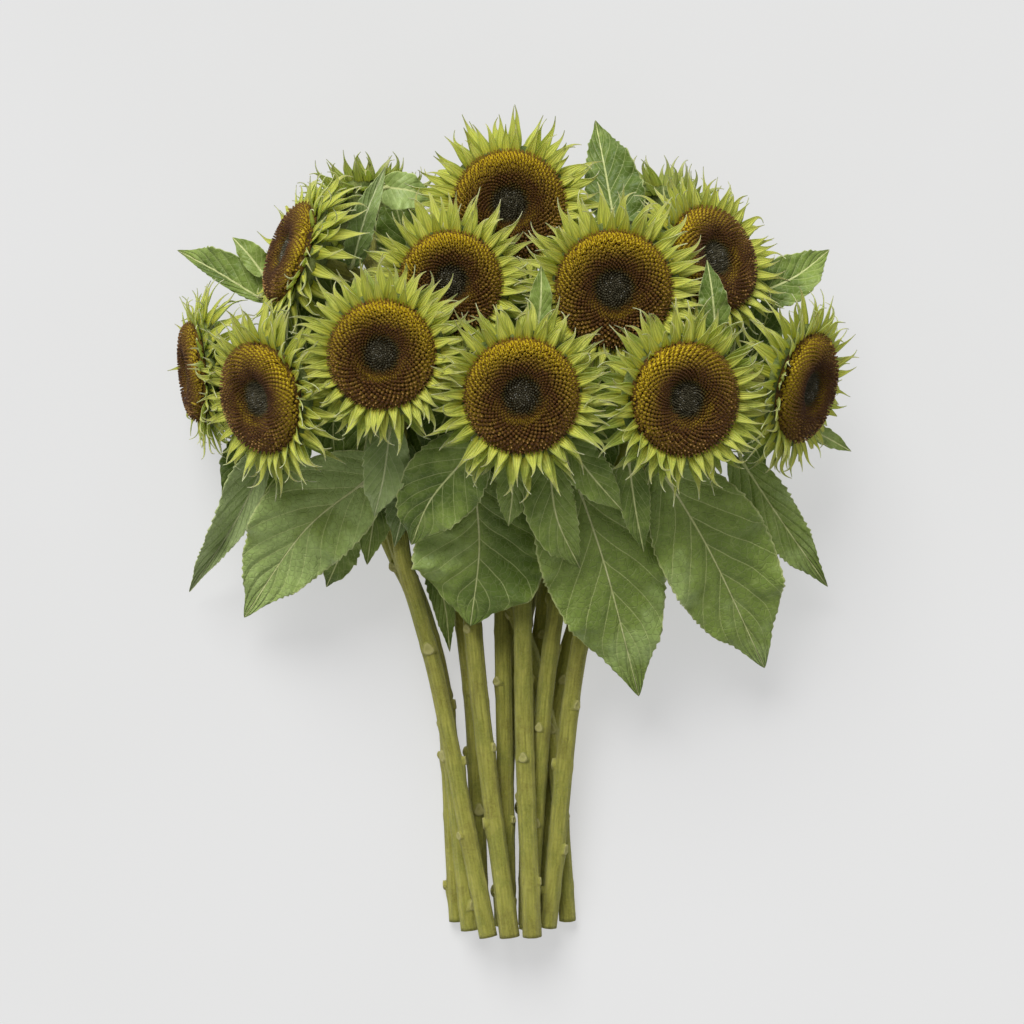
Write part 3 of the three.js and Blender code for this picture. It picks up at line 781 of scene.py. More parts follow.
BRACT_FACE = BractFinish(
    Side.UPPER,
    lime=colour(205, 212, 90),
    leafy=colour(132, 148, 56),
    root=colour(222, 217, 66),
    tip=colour(226, 229, 152),
    line=colour(124, 138, 44),
    shade=colour(84, 98, 34),
)
BRACT_BACK = BractFinish(
    Side.LOWER,
    lime=colour(196, 206, 116),
    leafy=colour(138, 156, 88),
    root=colour(190, 194, 88),
    tip=colour(226, 230, 184),
    line=colour(118, 136, 66),
    shade=colour(98, 116, 56),
)


@dataclass(frozen=True)
class StemFinish:
    """Stems: olive green with ribs, paler streaks, brownish stretches and pale scars, with painted shade in
    the grooves between the ribs.
    """

    olive: Colour = colour(134, 134, 44)
    pale: Colour = colour(192, 189, 88)
    brown: Colour = colour(112, 96, 36)
    green: Colour = colour(120, 132, 46)
    scar: Colour = colour(206, 200, 130)
    ribs: float = 16.0

    def build(self) -> Material:
        """The material, which reads scar from the mesh and the stem's girth from its UV map."""
        surface = Surface("stem skin", 0.62, Sheen_Weight=0.12)
        nodes = surface.nodes
        stretch = nodes.add("Mapping", {"Vector": surface.uv, "Scale": (7.0, 9.0, 1.0)}).outputs["Vector"]
        base = nodes.mix(nodes.between(nodes.noise(stretch, 2.0, 5.0), 0.25, 0.75), self.olive, self.pale)
        blotch = surface.mottle(24.0, 0.5)
        base = nodes.tint(base, self.green, nodes.between(blotch, 0.5, 1.0), 0.4)
        base = nodes.tint(base, self.brown, nodes.between(blotch, 0.25, 0.0), 0.3)
        ribs = surface.ribs(self.ribs)
        # Painted shade: brown darkens the grooves between the ribs.
        base = nodes.tint(base, self.brown, nodes.between(ribs, 0.35, 0.0), 0.2)
        felt = surface.mottle(650.0, 1.0)
        base = nodes.tint(base, self.pale, felt, 0.42)
        surface.paint(nodes.mix(nodes.attribute("scar"), base, self.scar))
        surface.relief(nodes.times(ribs, 0.5, nodes.times(felt, 0.6)), 0.6 * MM)
        return surface.material


@dataclass(frozen=True)
class LeafFinish:
    """One side of the leaves: green with pale veins, darker as painted shade on the leaves that lie in shade.
    """

    side: Side
    light: Colour
    green: Colour
    deep: Colour
    vein: Colour

    def build(self) -> Material:
        """The material, which reads from_rib, tone and size from the mesh and its UV map."""
        surface = Surface(f"leaf {self.side.value} side", 0.44, Specular_IOR_Level=0.28)
        nodes = surface.nodes
        inputs = {"UV": surface.uv, "Where": surface.where, "From Rib": nodes.attribute("from_rib")}
        veins = nodes.group(Effect.leaf_veins(), inputs).outputs
        # The tone is partly the leaf's own green and partly painted shade, deeper on leaves that lie in
        # shade.
        tone = nodes.times(surface.mottle(13.0, 0.25), 1.6, nodes.attribute("tone"))
        base = nodes.mix(nodes.between(tone, -0.3, 0.85), self.deep, self.green)
        base = nodes.mix(nodes.between(tone, 0.85, 2.0), base, self.light)
        base = nodes.tint(base, self.deep, surface.mottle(60.0, 0.8), 0.28)
        base = nodes.tint(base, self.vein, veins["Net"], 0.1)
        surface.paint(nodes.tint(base, self.vein, veins["Vein"], 0.85))
        sign = 1.0 if self.side is Side.UPPER else -1.0
        swell = nodes.times(veins["Swell"], nodes.attribute("size"))
        swell = nodes.times(nodes.noise(surface.where, 85.0), 1.2, swell)
        surface.relief(nodes.times(swell, sign), 1.6 * MM)
        return surface.material


UPPER_SIDE = LeafFinish(
    Side.UPPER,
    light=colour(166, 188, 110),
    green=colour(136, 157, 72),
    deep=colour(88, 110, 40),
    vein=colour(222, 228, 156),
)
LOWER_SIDE = LeafFinish(
    Side.LOWER,
    light=colour(172, 190, 126),
    green=colour(142, 162, 94),
    deep=colour(104, 124, 62),
    vein=colour(204, 212, 160),
)


# ---------------------------------------------------------------- stems


@dataclass
class Stem:
    """One stem: a ribbed, hairy tube with scars where its leaves were stripped off."""

    plan: HeadPlan
    seed: int
    sides: int = 28
    rings: int = 160
    rib_height: float = 0.03  # over the radius
    narrow_ribs: int = 8
    broad_ribs: int = 3
    skin_share: float = 0.18  # of the skin round the pith, over the radius
    end_dish: float = 0.4 * MM  # how far the pith is sunk in the cut end
    scar_pitch: float = 58 * MM
    scar_height: float = 4.0 * MM
    scar_radius: float = 3.9 * MM
    scar_room: float = 0.5 * MM  # least gap to the other stems and the table
    scar_turns: int = 12  # places round the stem that are tried in turn
    stripped: float = 0.8  # share of the length from which the leaves were stripped
    shoulder: float = 0.45  # how far the skin stands out below a scar, over the scar's height
    shoulder_drop: float = 5 * MM  # from the scar to where it stands out most
    shoulder_length: float = 8 * MM
    shoulder_width: float = 5 * MM
    girdle: float = 0.16  # how far the skin stands out all round the stem
    girdle_length: float = 4 * MM
    hairs: int = 2600
    hair_length: float = 1.5 * MM
    hair_radius: float = 0.07 * MM
    hair_lean: float = 0.25
    route: Route = field(init=False)
    radii: list[float] = field(init=False)

    CAD_SIDES = 7  # sides of the part's own stem solids

    def __post_init__(self) -> None:
        """Reads the stem's line and thickness from the part."""
        middles, self.radii = self._rings_of_the_solid()
        self.route = Route(middles)
        self.random = random.Random(100 + self.seed)

    @property
    def node(self) -> str:
        """The part's node that the stem stands for."""
        return "stem_" + self.plan.name

    def _rings_of_the_solid(self) -> tuple[list[Vector], list[float]]:
        """Middle and radius of each ring of corners of the part's stem, from its cut end on."""
        bm = bmesh.new()
        bm.from_mesh(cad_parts[self.node].data)
        bmesh.ops.remove_doubles(bm, verts=bm.verts, dist=SAME_PLACE)
        bm.verts.index_update()
        ring = sorted(bm.verts, key=lambda corner: corner.co.y)[: self.CAD_SIDES]
        seen: set[BMVert] = set()
        middles, radii = [], []
        while ring:
            seen.update(ring)
            middle = sum((corner.co for corner in ring), Vector()) / len(ring)
            middles.append(middle)
            radii.append(sum((corner.co - middle).length for corner in ring) / len(ring))
            neighbours = {edge.other_vert(corner) for corner in ring for edge in corner.link_edges}
            ring = sorted(neighbours - seen, key=lambda corner: corner.index)
        bm.free()
        return middles, radii

    def radius(self, share: float) -> float:
        """The stem's radius at a share of its length."""
        return float(np.interp(share * (len(self.radii) - 1), range(len(self.radii)), self.radii))

    def _scars(self, others: Sequence["Stem"]) -> list[tuple[float, float, float]]:
        """Share of the length, angle and height of each leaf scar, where no other stem is in its way."""
        scars = []
        angle = self.random.uniform(0, TURN)
        reach = self.random.uniform(0.25, 0.9) * self.scar_pitch
        while reach < self.stripped * self.route.length:
            share = reach / self.route.length
            for attempt in range(self.scar_turns):
                turn = angle + attempt * TURN / self.scar_turns
                tip = self._skin(share, turn, self.radius(share) + self.scar_height)
                room = min((other.route.nearest(tip) - tip).length - other.plan.stem * MM for other in others)
                if min(room, tip.z) > self.scar_room:
                    scars.append((share, turn, self.scar_height * self.random.uniform(0.55, 1.0)))
                    angle = turn
                    break
            angle += GOLDEN_ANGLE
            reach += self.scar_pitch * self.random.uniform(0.6, 1.3)
        return scars

    def _skin(self, share: float, angle: float, radius: float) -> Vector:
        """The point at an angle round the stem and a distance from its middle line."""
        along = self.route.along(share)
        down = Vector((0, 0, -1))
        aside = (down - down.dot(along) * along).normalized()
        across = along.cross(aside)
        return self.route.at(share) + radius * (math.cos(angle) * aside + math.sin(angle) * across)

    def _swell(self, share: float, angle: float, scars: Sequence[tuple[float, float, float]]) -> float:
        """How far the skin stands out round the scars near a place."""
        out = 0.0
        for where, turn, height in scars:
            along = (share - where) * self.route.length
            around = math.remainder(angle - turn, TURN) * self.plan.stem * MM
            below = (along + self.shoulder_drop) / self.shoulder_length
            shoulder = math.exp(-(below**2) - (around / self.shoulder_width) ** 2)
            girdle = math.exp(-((along / self.girdle_length) ** 2))
            out += height * (self.shoulder * shoulder + self.girdle * girdle)
        return out

    def _add_stub(self, bm: BMesh, share: float, angle: float, height: float) -> None:
        """Adds the short stub that a stripped leaf left: a knob with a pale dished face."""
        wide = self.scar_radius * self.random.uniform(0.75, 1.25)
        profile = (
            (0.0, -3 * MM),
            (1.3 * wide, -2.5 * MM),
            (1.25 * wide, 0.1 * height),
            (0.95 * wide, 0.6 * height),
            (0.9 * wide, 0.95 * height),
            (0.66 * wide, height),
            (0.3 * wide, 0.8 * height),
            (0.0, 0.75 * height),
        )
        stub = turned(profile, 14)
        scar = stub.verts.layers.float.new("scar")
        for corner in stub.verts:
            corner[scar] = smoothstep(0.5, 0.95, corner.co.y / height) * self.random.uniform(0.5, 1.0)
            corner.co.x *= 0.95 + 0.25 * math.sin(2.5 * corner.co.z / wide + angle)
            corner.co.z = 1.25 * corner.co.z + 0.4 * max(corner.co.y, 0.0)
        skin = self._skin(share, angle, 0.96 * self.radius(share))
        out = (self._skin(share, angle, 1.0) - skin).normalized()
        along = self.route.along(share)
        turn = Matrix((along.cross(out), out, along)).transposed().to_4x4()
        pour_placed(stub, bm, Matrix.Translation(skin) @ turn, 0)

    def build(self, others: Sequence["Stem"], materials: Sequence[Material]) -> Object:
        """Makes the stem.

        Args:
            others: The other stems of the bunch.
            materials: Finishes of its skin, cut end and hairs.

        Returns:
            The finished piece.
        """
        bm = unit_sheet(self.sides, self.rings)
        bm.verts.layers.float.new("scar")
        scars = self._scars(others)
        phase = self.random.uniform(0, TURN)
        for corner in bm.verts:
            share, angle = corner.co.y, math.pi * corner.co.x
            # The ribs drift round the stem along its length.
            ribs = math.cos(self.narrow_ribs * angle + phase + 2.0 * math.sin(5 * share + phase))
            ribs += math.cos(self.broad_ribs * angle + 3 * phase + 9 * share)
            radius = self.radius(share) * (1 + self.rib_height * ribs) + self._swell(share, angle, scars)
            corner.co = self._skin(share, angle, radius)
            corner.co.z = max(corner.co.z, 2 * CLEARANCE)
        bmesh.ops.remove_doubles(bm, verts=bm.verts, dist=SAME_PLACE)
        self._close(bm)
        bmesh.ops.recalc_face_normals(bm, faces=bm.faces)
        for scar in scars:
            self._add_stub(bm, *scar)
        self._add_hairs(bm)
        return finish_piece("skin_" + self.node, bm, materials, self.node)

    def _close(self, bm: BMesh) -> None:
        """Closes both ends, with a ring of skin round the pith of each."""
        rims = [edge for edge in bm.edges if edge.is_boundary]
        caps = bmesh.ops.holes_fill(bm, edges=rims, sides=0)["faces"]
        bmesh.ops.inset_individual(bm, faces=caps, thickness=self.skin_share * self.plan.stem * MM)
        paint_faces(caps, 1)
        for face in caps:
            inwards = (self.route.at(0.5) - face.calc_center_median()).normalized()
            bmesh.ops.translate(bm, verts=face.verts, vec=self.end_dish * inwards)

    def _add_hairs(self, bm: BMesh) -> None:
        """Sets short fine hairs on the skin."""
        cone = bmesh.new()
        bmesh.ops.create_cone(cone, segments=3, radius1=1.0, radius2=0.0, depth=1.0, cap_ends=False)
        bmesh.ops.translate(cone, verts=cone.verts, vec=(0, 0, 0.5))
        hairs, each = repeated(cone, self.hairs)
        matrices = []
        for _ in range(self.hairs):
            share, angle = self.random.uniform(0.003, 0.997), self.random.uniform(-math.pi, math.pi)
            foot = self._skin(share, angle, 0.99 * self.radius(share))
            out = (self._skin(share, angle, 1.0) - foot).normalized()
            lean = Vector([self.random.gauss(0, self.hair_lean) for _ in range(3)])
            turn = Vector((0, 0, 1)).rotation_difference(out + lean).to_matrix().to_4x4()
            length = self.hair_length * self.random.uniform(0.6, 1.2)
            size = Matrix.Diagonal((self.hair_radius, self.hair_radius, length, 1))
            matrices.append(Matrix.Translation(foot) @ turn @ size)
        for number, corner in enumerate(hairs.verts):
            corner.co = matrices[number // each] @ corner.co
        paint_faces(hairs.faces, 2)
        pour(hairs, bm)


# ---------------------------------------------------------------- heads


@dataclass(frozen=True)
class BractRow:
    """A ring of bracts, in millimetres and radians."""

    count: int
    inset: float  # how far inside the disc's rim the roots stand
    height: float  # of the roots over the rim
    length: float
    half_width: float
    rise: float  # of its root from the plane of the rim
    curl: float  # how far it bends forward by its tip
    tone: float  # 0 for lime, 1 for leaf green


BRACT_ROWS = (
    BractRow(30, 5.0, 0.5, 29, 4.3, 0.72, -0.35, 0.0),
    BractRow(28, 3.0, -2.0, 35, 5.0, 0.4, -0.1, 0.1),
    BractRow(25, 1.5, -5.5, 38, 5.4, 0.1, 0.0, 0.4),
    BractRow(18, 4.0, -11.0, 38, 5.8, -0.35, -0.2, 0.9),
)


@dataclass(frozen=True)
class BractSpread:
    """How far bracts stray from their row's rule: the limits of even draws, or deviations in radians."""

    place: float = 0.3  # over the gap between two roots
    length: tuple[float, float] = (0.82, 1.15)  # over the row's
    half_width: tuple[float, float] = (0.85, 1.15)  # over the row's
    rise: float = 0.15
    curl: float = 0.3
    tip: float = 0.7
    wild_tip: float = 0.6  # how much more tips stray for each radian that the bracts are swept back
    sway: float = 0.14
    twist: float = 0.7
    tone: float = 0.15


# Shares of a bract's length, and its half width there over its greatest: it draws out into a long tip.
BRACT_SHARES = (0.0, 0.12, 0.28, 0.42, 0.55, 0.68, 0.8, 0.9, 1.0)
BRACT_WIDTHS = (0.85, 1.0, 0.96, 0.74, 0.48, 0.28, 0.16, 0.08, 0.02)

# Shares of the disc's radius, and its height there over its rim, in millimetres: a cushion with a
# crater, and the buds heaped in the middle of the crater.
DISC_SHARES = (0.0, 0.1, 0.2, 0.27, 0.34, 0.45, 0.55, 0.66, 0.78, 0.86, 0.93, 0.98, 1.0)
DISC_HEIGHTS = (10.4, 10.1, 9.0, 8.8, 10.8, 14.0, 15.2, 14.9, 13.6, 12.0, 9.6, 6.6, 0.0)


def softened(values: np.ndarray, reach: int) -> np.ndarray:
    """Each value's mean over its neighbours up to a reach on either side."""
    width = 2 * reach + 1
    return np.convolve(np.pad(values, reach, mode="edge"), np.ones(width) / width, mode="valid")


@dataclass
class Bract:
    """One bract in a head's frame, in metres and radians."""

    matrix: Matrix
    angle: float
    root: Vector
    length: float
    half_width: float
    rise: float
    curl: float
    tip_curl: float  # how far its drawn-out tip bends up
    sway: float  # how far it bends aside
    tip_sway: float  # how far its tip does
    twist: float  # of its outer part round its midline
    tone: float

    STEPS = 14
    CUP = 0.42  # how far its edges stand up, over the half width
    RIPPLE = 0.09  # depth of the grooves along it, over the half width
    ROOM = 0.3 * MM  # least height over the table

    def shift(self, share: float, turn: float) -> None:
        """Lays out the bract with a share of its length, turned up or down from its root."""
        spot = self.root.copy()
        step = self.length * share / self.STEPS
        stations = []
        for k in range(self.STEPS + 1):
            t = k / self.STEPS
            tip = smoothstep(0.5, 1.0, t)
            pitch = self.rise + turn * smoothstep(0, 0.3, t) + 1.3 * self.curl * t**2 + self.tip_curl * tip
            yaw = self.sway * t + self.tip_sway * tip
            level = math.cos(pitch)
            along = Vector((level * math.cos(yaw), math.sin(pitch), level * math.sin(yaw)))
            up = Vector((-math.sin(pitch), level, 0))
            across = along.cross(up).normalized()
            roll = Matrix.Rotation(self.twist * smoothstep(0.35, 1.0, t), 3, along)
            stations.append([*spot, *(roll @ across), *(roll @ up)])
            spot = spot + step * along
        self._stations = np.array(stations)

    def point(self, x: float, t: float) -> Vector:
        """The place of a point of the unit sheet on the bract."""
        at = t * self.STEPS
        k = min(int(at), self.STEPS - 1)
        row = self._stations[k] + (at - k) * (self._stations[k + 1] - self._stations[k])
        spot, across, up = Vector(row[:3]), Vector(row[3:6]), Vector(row[6:])
        half = self.half_width * float(np.interp(t, BRACT_SHARES, BRACT_WIDTHS))
        cup = half * (self.CUP * x * x + self.RIPPLE * math.cos(3 * math.pi * x))
        local = spot + x * half * across + cup * up
        return self.matrix @ (Matrix.Rotation(-self.angle, 4, "Y") @ local)

    def is_clear(self, obstacles: BVHTree) -> bool:
        """Whether the bract's midline meets none of the obstacles and stays above the table."""
        points = [self.point(0.0, t) for t in np.linspace(0.25, 1.0, 8)]
        if min(point.z for point in points) < self.ROOM:
            return False
        for a, b in zip(points, points[1:]):
            if obstacles.ray_cast(a, (b - a).normalized(), (b - a).length)[0] is not None:
                return False
        return True


@dataclass
class FlowerHead:
    """One head: the green receptacle with its rows of bracts, and the domed disc of florets."""

    plan: HeadPlan
    seed: int
    floret_length: float = 11.0 * MM
    floret_rise: float = 0.6 * MM  # how far a floret's tip stands over the dome
    rim_spacing: float = 3.9 * MM
    middle_spacing: float = 1.7 * MM
    floret_foot: float = 4.0 * MM  # no floret stands lower on the disc's side than this
    floret_lean: float = 0.6  # how far a floret follows the slope of the disc
    floret_reach: float = 0.975  # how far out the florets stand, over the disc's radius
    ragged_from: float = 0.8  # share of the radius from which florets stand unevenly
    bud_length: float = 0.55  # of a floret in the middle, over one farther out
    uneven: float = 0.05  # how far florets' lengths vary, over their length
    rim_uneven: float = 0.4  # how much more they vary at the rim
    ragged_tilt: tuple[float, float] = (0.1, 0.4)  # mean and deviation of their tilt there, in radians
    ragged_thin: float = 0.3  # how much thinner they are there
    most_lean: float = 0.8  # in radians
    ground_depth: float = 5.5 * MM  # of the ground between the florets, under their tips
    bract_thickness: float = 0.45 * MM
    side_sweep: float = 0.6  # how far the bracts of a head that faces aside are swept back, in radians
    back_sweep: float = 0.25  # how far those of a head that faces away are
    painted_shade_fall: float = 0.5 / 130  # painted shade: how much leafier the bracts are painted for each millimetre towards the cut ends
    painted_shade_level: float = 150  # from this place along the bunch, in millimetres
    aside_painted_light: float = 0.6  # painted light: how much limier the bracts are painted where the head faces aside
    painted_lit_side_tone: float = 0.45  # painted light: how much limier they are painted on the side of the head that faces the light
    spread: BractSpread = BractSpread()
    cup_depth: float = 26 * MM
    cup_lip: float = 5 * MM
    painted_light_from: Vector = field(default_factory=lambda: Vector((-0.05, 0.5, 0.86)))  # the direction from which the painted light on the florets and bracts falls
    matrix: Matrix = field(init=False)

    BRACT_GRID = (6, 12)  # faces across and along a bract
    ROOM = 0.87  # area that packed florets take, over the square of their spacing
    # Radius over its spacing and height over its length, from the foot of a floret to its tip.
    FLORET = ((0.0, 0.3), (0.44, 0.42), (0.50, 0.63), (0.16, 0.71), (0.20, 0.94), (0.0, 1.0))
    CUT_SHARES = (1.0, 0.85, 0.7)  # of a bract's length, tried in turn to keep it clear
    TURNS = (0, 0.2, -0.2, 0.4, -0.4, 0.65, -0.65, 0.9, -0.9)  # up or down, in radians, tried for each share

    def __post_init__(self) -> None:
        """Sets the frame of the head: +Y along its facing, from the middle of its rim."""
        turn = Vector((0, 1, 0)).rotation_difference(Vector(self.plan.facing))
        self.matrix = Matrix.Translation(placed(self.plan.centre)) @ turn.to_matrix().to_4x4()
        self.random = random.Random(500 + self.seed)

    @property
    def radius(self) -> float:
        """Radius of the disc in metres."""
        return self.plan.disc * MM

    @property
    def sweep(self) -> float:
        """How far the bracts sweep back, in radians: more on heads that face aside."""
        up = self.plan.facing[2]
        return self.side_sweep * (1 - up) if up > 0 else self.back_sweep

    @property
    def painted_light_tone(self) -> float:
        """How leafy the bracts are painted, as painted light and shade: limier on the heads that stood
        highest or that face aside or away, leafier on the heads nearer the cut ends.
        """
        lower = self.painted_shade_fall * (self.painted_shade_level - self.plan.centre[1])
        return lower - self.aside_painted_light * (1 - self.plan.facing[2])

    @property
    def painted_lit_side(self) -> Vector:
        """The direction across the disc that turns most towards the painted light."""
        facing = Vector(self.plan.facing).normalized()
        return (self.painted_light_from - self.painted_light_from.dot(facing) * facing).normalized()

    def _disc_line(self) -> np.ndarray:
        """Radius and height of closely spaced points of the dome, from its middle to its rim."""
        fine = np.concatenate((np.linspace(0, 0.93, 200), np.linspace(0.932, 1, 80)))
        levels = np.interp(fine, DISC_SHARES, DISC_HEIGHTS)
        soft = softened(levels, 6)
        soft[-20:] = levels[-20:]  # the rim keeps its edge
        return np.column_stack((fine * self.radius, soft * MM))

    def _floret_sites(self) -> list[tuple[float, float, float, float]]:
        """Radius, height, lean from the facing and spacing of each floret, in the order of the spiral."""
        line = self._disc_line()
        step = np.diff(line, axis=0)
        length = np.linalg.norm(step, axis=1)
        middle = (line[1:] + line[:-1]) / 2
        share = middle[:, 0] / self.radius
        spread = np.clip(share / 0.8, 0, 1) ** 1.1
        spacing = self.middle_spacing + (self.rim_spacing - self.middle_spacing) * spread
        number = np.cumsum(TURN * middle[:, 0] * length / (self.ROOM * spacing**2))
        lean = softened(np.arctan2(-step[:, 1], step[:, 0]), 8)
        sites = []
        for k in range(int(number[-1])):
            radius, *rest = (float(np.interp(k + 0.5, number, row)) for row in (*middle.T, lean, spacing))
            if rest[0] > self.floret_foot:
                sites.append((self.floret_reach * radius, *rest))
        return sites

    def _one_floret(self) -> BMesh:
        """A floret of unit length and spacing: a tube that swells, a neck, and a knob at its tip."""
        bm = turned(self.FLORET, 5)
        height = bm.verts.layers.float.new("height")
        for corner in bm.verts:
            corner[height] = corner.co.y
        for name in ("share", "painted_lit_gold", "chance"):
            bm.verts.layers.float.new(name)
        return bm

    def build_disc(self, materials: Sequence[Material]) -> Object:
        """Makes the disc.

        Args:
            materials: Finishes of the florets and of the ground between them.

        Returns:
            The finished piece.
        """
        sites = self._floret_sites()
        bm, each = repeated(self._one_floret(), len(sites))
        matrices, chances = [], []
        for k, (radius, height, lean, spacing) in enumerate(sites):
            angle = k * GOLDEN_ANGLE
            chances.append(self.random.random())
            grown = smoothstep(0.1, 0.45, radius / self.radius)
            length = self.floret_length * (self.bud_length + (1 - self.bud_length) * grown)
            ragged = smoothstep(self.ragged_from, 1.0, radius / self.radius)
            ragged *= 2 - max(self.plan.facing[2], 0.2)
            length *= 1 + (self.uneven + self.rim_uneven * ragged) * (chances[-1] - 0.4)
            slope = max(min(self.floret_lean * lean, self.most_lean), -self.most_lean)
            tilt = self.random.gauss(0, 0.08) - slope
            tilt -= ragged * abs(self.random.gauss(*self.ragged_tilt))
            stand = Matrix.Rotation(-angle, 4, "Y") @ Matrix.Translation((radius, height, 0))
            foot = Matrix.Translation((0, self.floret_rise - length, 0))
            stand = stand @ Matrix.Rotation(tilt, 4, "Z") @ foot
            width = spacing * (1 - self.ragged_thin * ragged)
            matrices.append(stand @ Matrix.Diagonal((width, length, width, 1)))
        # How golden each floret is, which paints light and shade on the disc.
        painted_lit_golds = [
            self._painted_lit_gold_share(site[0] / self.radius, self.matrix @ matrix.translation, chance)
            for site, matrix, chance in zip(sites, matrices, chances)
        ]
        share_of, painted_lit_gold_of, chance_of = (bm.verts.layers.float[name] for name in ("share", "painted_lit_gold", "chance"))
        for number, corner in enumerate(bm.verts):
            k = number // each
            corner.co = self.matrix @ (matrices[k] @ corner.co)
            corner[share_of] = sites[k][0] / self.radius
            corner[painted_lit_gold_of] = painted_lit_golds[k]
            corner[chance_of] = chances[k]
        self._add_ground(bm)
        return finish_piece("florets_" + self.plan.name, bm, materials, "disc_" + self.plan.name)

    def _painted_lit_gold_share(self, share: float, place: Vector, chance: float) -> float:
        """How golden a floret is: most near the rim on the painted-lit side, and on the crater's far side,
        whose slope faces that light; the gold paints light and the lack of it paints shade.

        Args:
            share: Its distance from the middle of the disc over the disc's radius.
            place: Where it stands, in the part's frame.
            chance: Its own number from 0 to 1.

        Returns:
            A share from 0 to 1.
        """
        # Painted light: the side of the disc that turns towards the light is painted gold and the far side
        # brown; the crater's far slope faces the light and is painted gold as well.
        out = (place - self.matrix.translation).dot(self.painted_lit_side)
        toward_light = out / max(share * self.radius, 1 * MM)
        # Less gold on heads that face aside.
        face_on = 0.6 + 0.4 * abs(self.plan.facing[2])
        rim = face_on * smoothstep(0.4, 0.9, share) * (0.34 + 0.5 * toward_light + 0.2 * toward_light * toward_light)
        inner = math.exp(-(((share - 0.41) / 0.06) ** 2)) * max(-toward_light, 0.0)
        return min(max(rim + 0.3 * inner + 0.22 * (chance - 0.5), 0.0), 1.0)

    def _add_ground(self, bm: BMesh) -> None:
        """Adds the closed dome that the florets stand in."""
        line = self._disc_line()[::-14]
        dome = [(0.95 * radius, max(height - self.ground_depth, 0.3 * MM)) for radius, height in line]
        ground = turned([(0.0, 0.2 * MM), *dome, (0.0, dome[-1][1])], 36)
        pour_placed(ground, bm, self.matrix, 1)

    def build_calyx(self, obstacles: BVHTree, materials: Sequence[Material]) -> Object:
        """Makes the receptacle and its bracts.

        Args:
            obstacles: What the bracts keep clear of.
            materials: Finishes of the bracts' faces, of the receptacle and of the bracts' backs.

        Returns:
            The finished piece.
        """
        bracts = [self._fitted_bract(row, i, obstacles) for row in BRACT_ROWS for i in range(row.count)]
        sheet = unit_sheet(*self.BRACT_GRID)
        sheet.verts.layers.float.new("tone")
        bm, each = repeated(sheet, len(bracts))
        tone = bm.verts.layers.float["tone"]
        for number, corner in enumerate(bm.verts):
            bract = bracts[number // each]
            corner[tone] = bract.tone
            corner.co = bract.point(corner.co.x, corner.co.y)
        thicken(bm, self.bract_thickness, shown=0, hidden=2)
        bmesh.ops.recalc_face_normals(bm, faces=bm.faces)
        self._add_receptacle(bm)
        return finish_piece("bracts_" + self.plan.name, bm, materials, "calyx_" + self.plan.name)

    def _fitted_bract(self, row: BractRow, i: int, obstacles: BVHTree) -> Bract:
        """A bract of a row, drawn at random round the row's rule and turned clear of the obstacles."""
        spread, draw = self.spread, self.random
        offset = BRACT_ROWS.index(row) * 0.5
        wild = 1 + spread.wild_tip * self.sweep
        angle = (i + offset + draw.uniform(-spread.place, spread.place)) * TURN / row.count
        out = self.matrix.to_3x3() @ Vector((math.cos(angle), 0, math.sin(angle)))
        # Painted light: bracts on the side of the head that faces the light are painted limier.
        painted_lit = self.painted_lit_side_tone * max(out.dot(self.painted_lit_side), 0)
        base = Bract(
            matrix=self.matrix,
            angle=angle,
            root=Vector((self.radius - row.inset * MM, row.height * MM, 0)),
            length=row.length * MM * draw.uniform(*spread.length),
            half_width=row.half_width * MM * draw.uniform(*spread.half_width),
            rise=row.rise - self.sweep + draw.gauss(0, spread.rise),
            curl=row.curl + draw.gauss(0, spread.curl),
            tip_curl=draw.gauss(0, spread.tip * wild),
            sway=draw.gauss(0, spread.sway),
            tip_sway=draw.gauss(0, spread.tip * wild),
            twist=draw.gauss(0, spread.twist),
            # The tone adds painted light and shade to the row's own green.
            tone=row.tone + self.painted_light_tone - painted_lit + draw.uniform(-spread.tone, spread.tone),
        )
        for share in self.CUT_SHARES:
            for turn in self.TURNS:
                base.shift(share, turn)
                if base.is_clear(obstacles):
                    return base
        base.shift(0.5, 0)
        return base

    def _add_receptacle(self, bm: BMesh) -> None:
        """Adds the bowl behind the disc, which narrows to the stem."""
        neck = self.plan.stem * 0.9 * MM
        rim = self.radius + self.cup_lip
        depth = self.cup_depth
        profile = [
            (0.0, -depth - 1.6 * MM),
            (neck + 0.4 * MM, -depth - 1.6 * MM),
            (neck + 2.2 * MM, -depth + 1 * MM),
            (0.38 * rim, -0.88 * depth),
            (0.64 * rim, -0.72 * depth),
            (0.84 * rim, -0.5 * depth),
            (0.95 * rim, -0.3 * depth),
            (0.98 * rim, -0.15 * depth),
            (self.radius + 1 * MM, -1.5 * MM),
            (self.radius - 2 * MM, -0.5 * MM),
            (0.0, -0.5 * MM),
        ]
        bowl = turned(profile, 48)
        for corner in bowl.verts:
            angle = math.atan2(corner.co.z, corner.co.x)
            wave = 1 + 0.02 * math.cos(13 * angle + self.seed) * smoothstep(0.3, 0.8, -corner.co.y / depth)
            corner.co.x *= wave
            corner.co.z *= wave
        pour_placed(bowl, bm, self.matrix, 1)


# ---------------------------------------------------------------- leaves


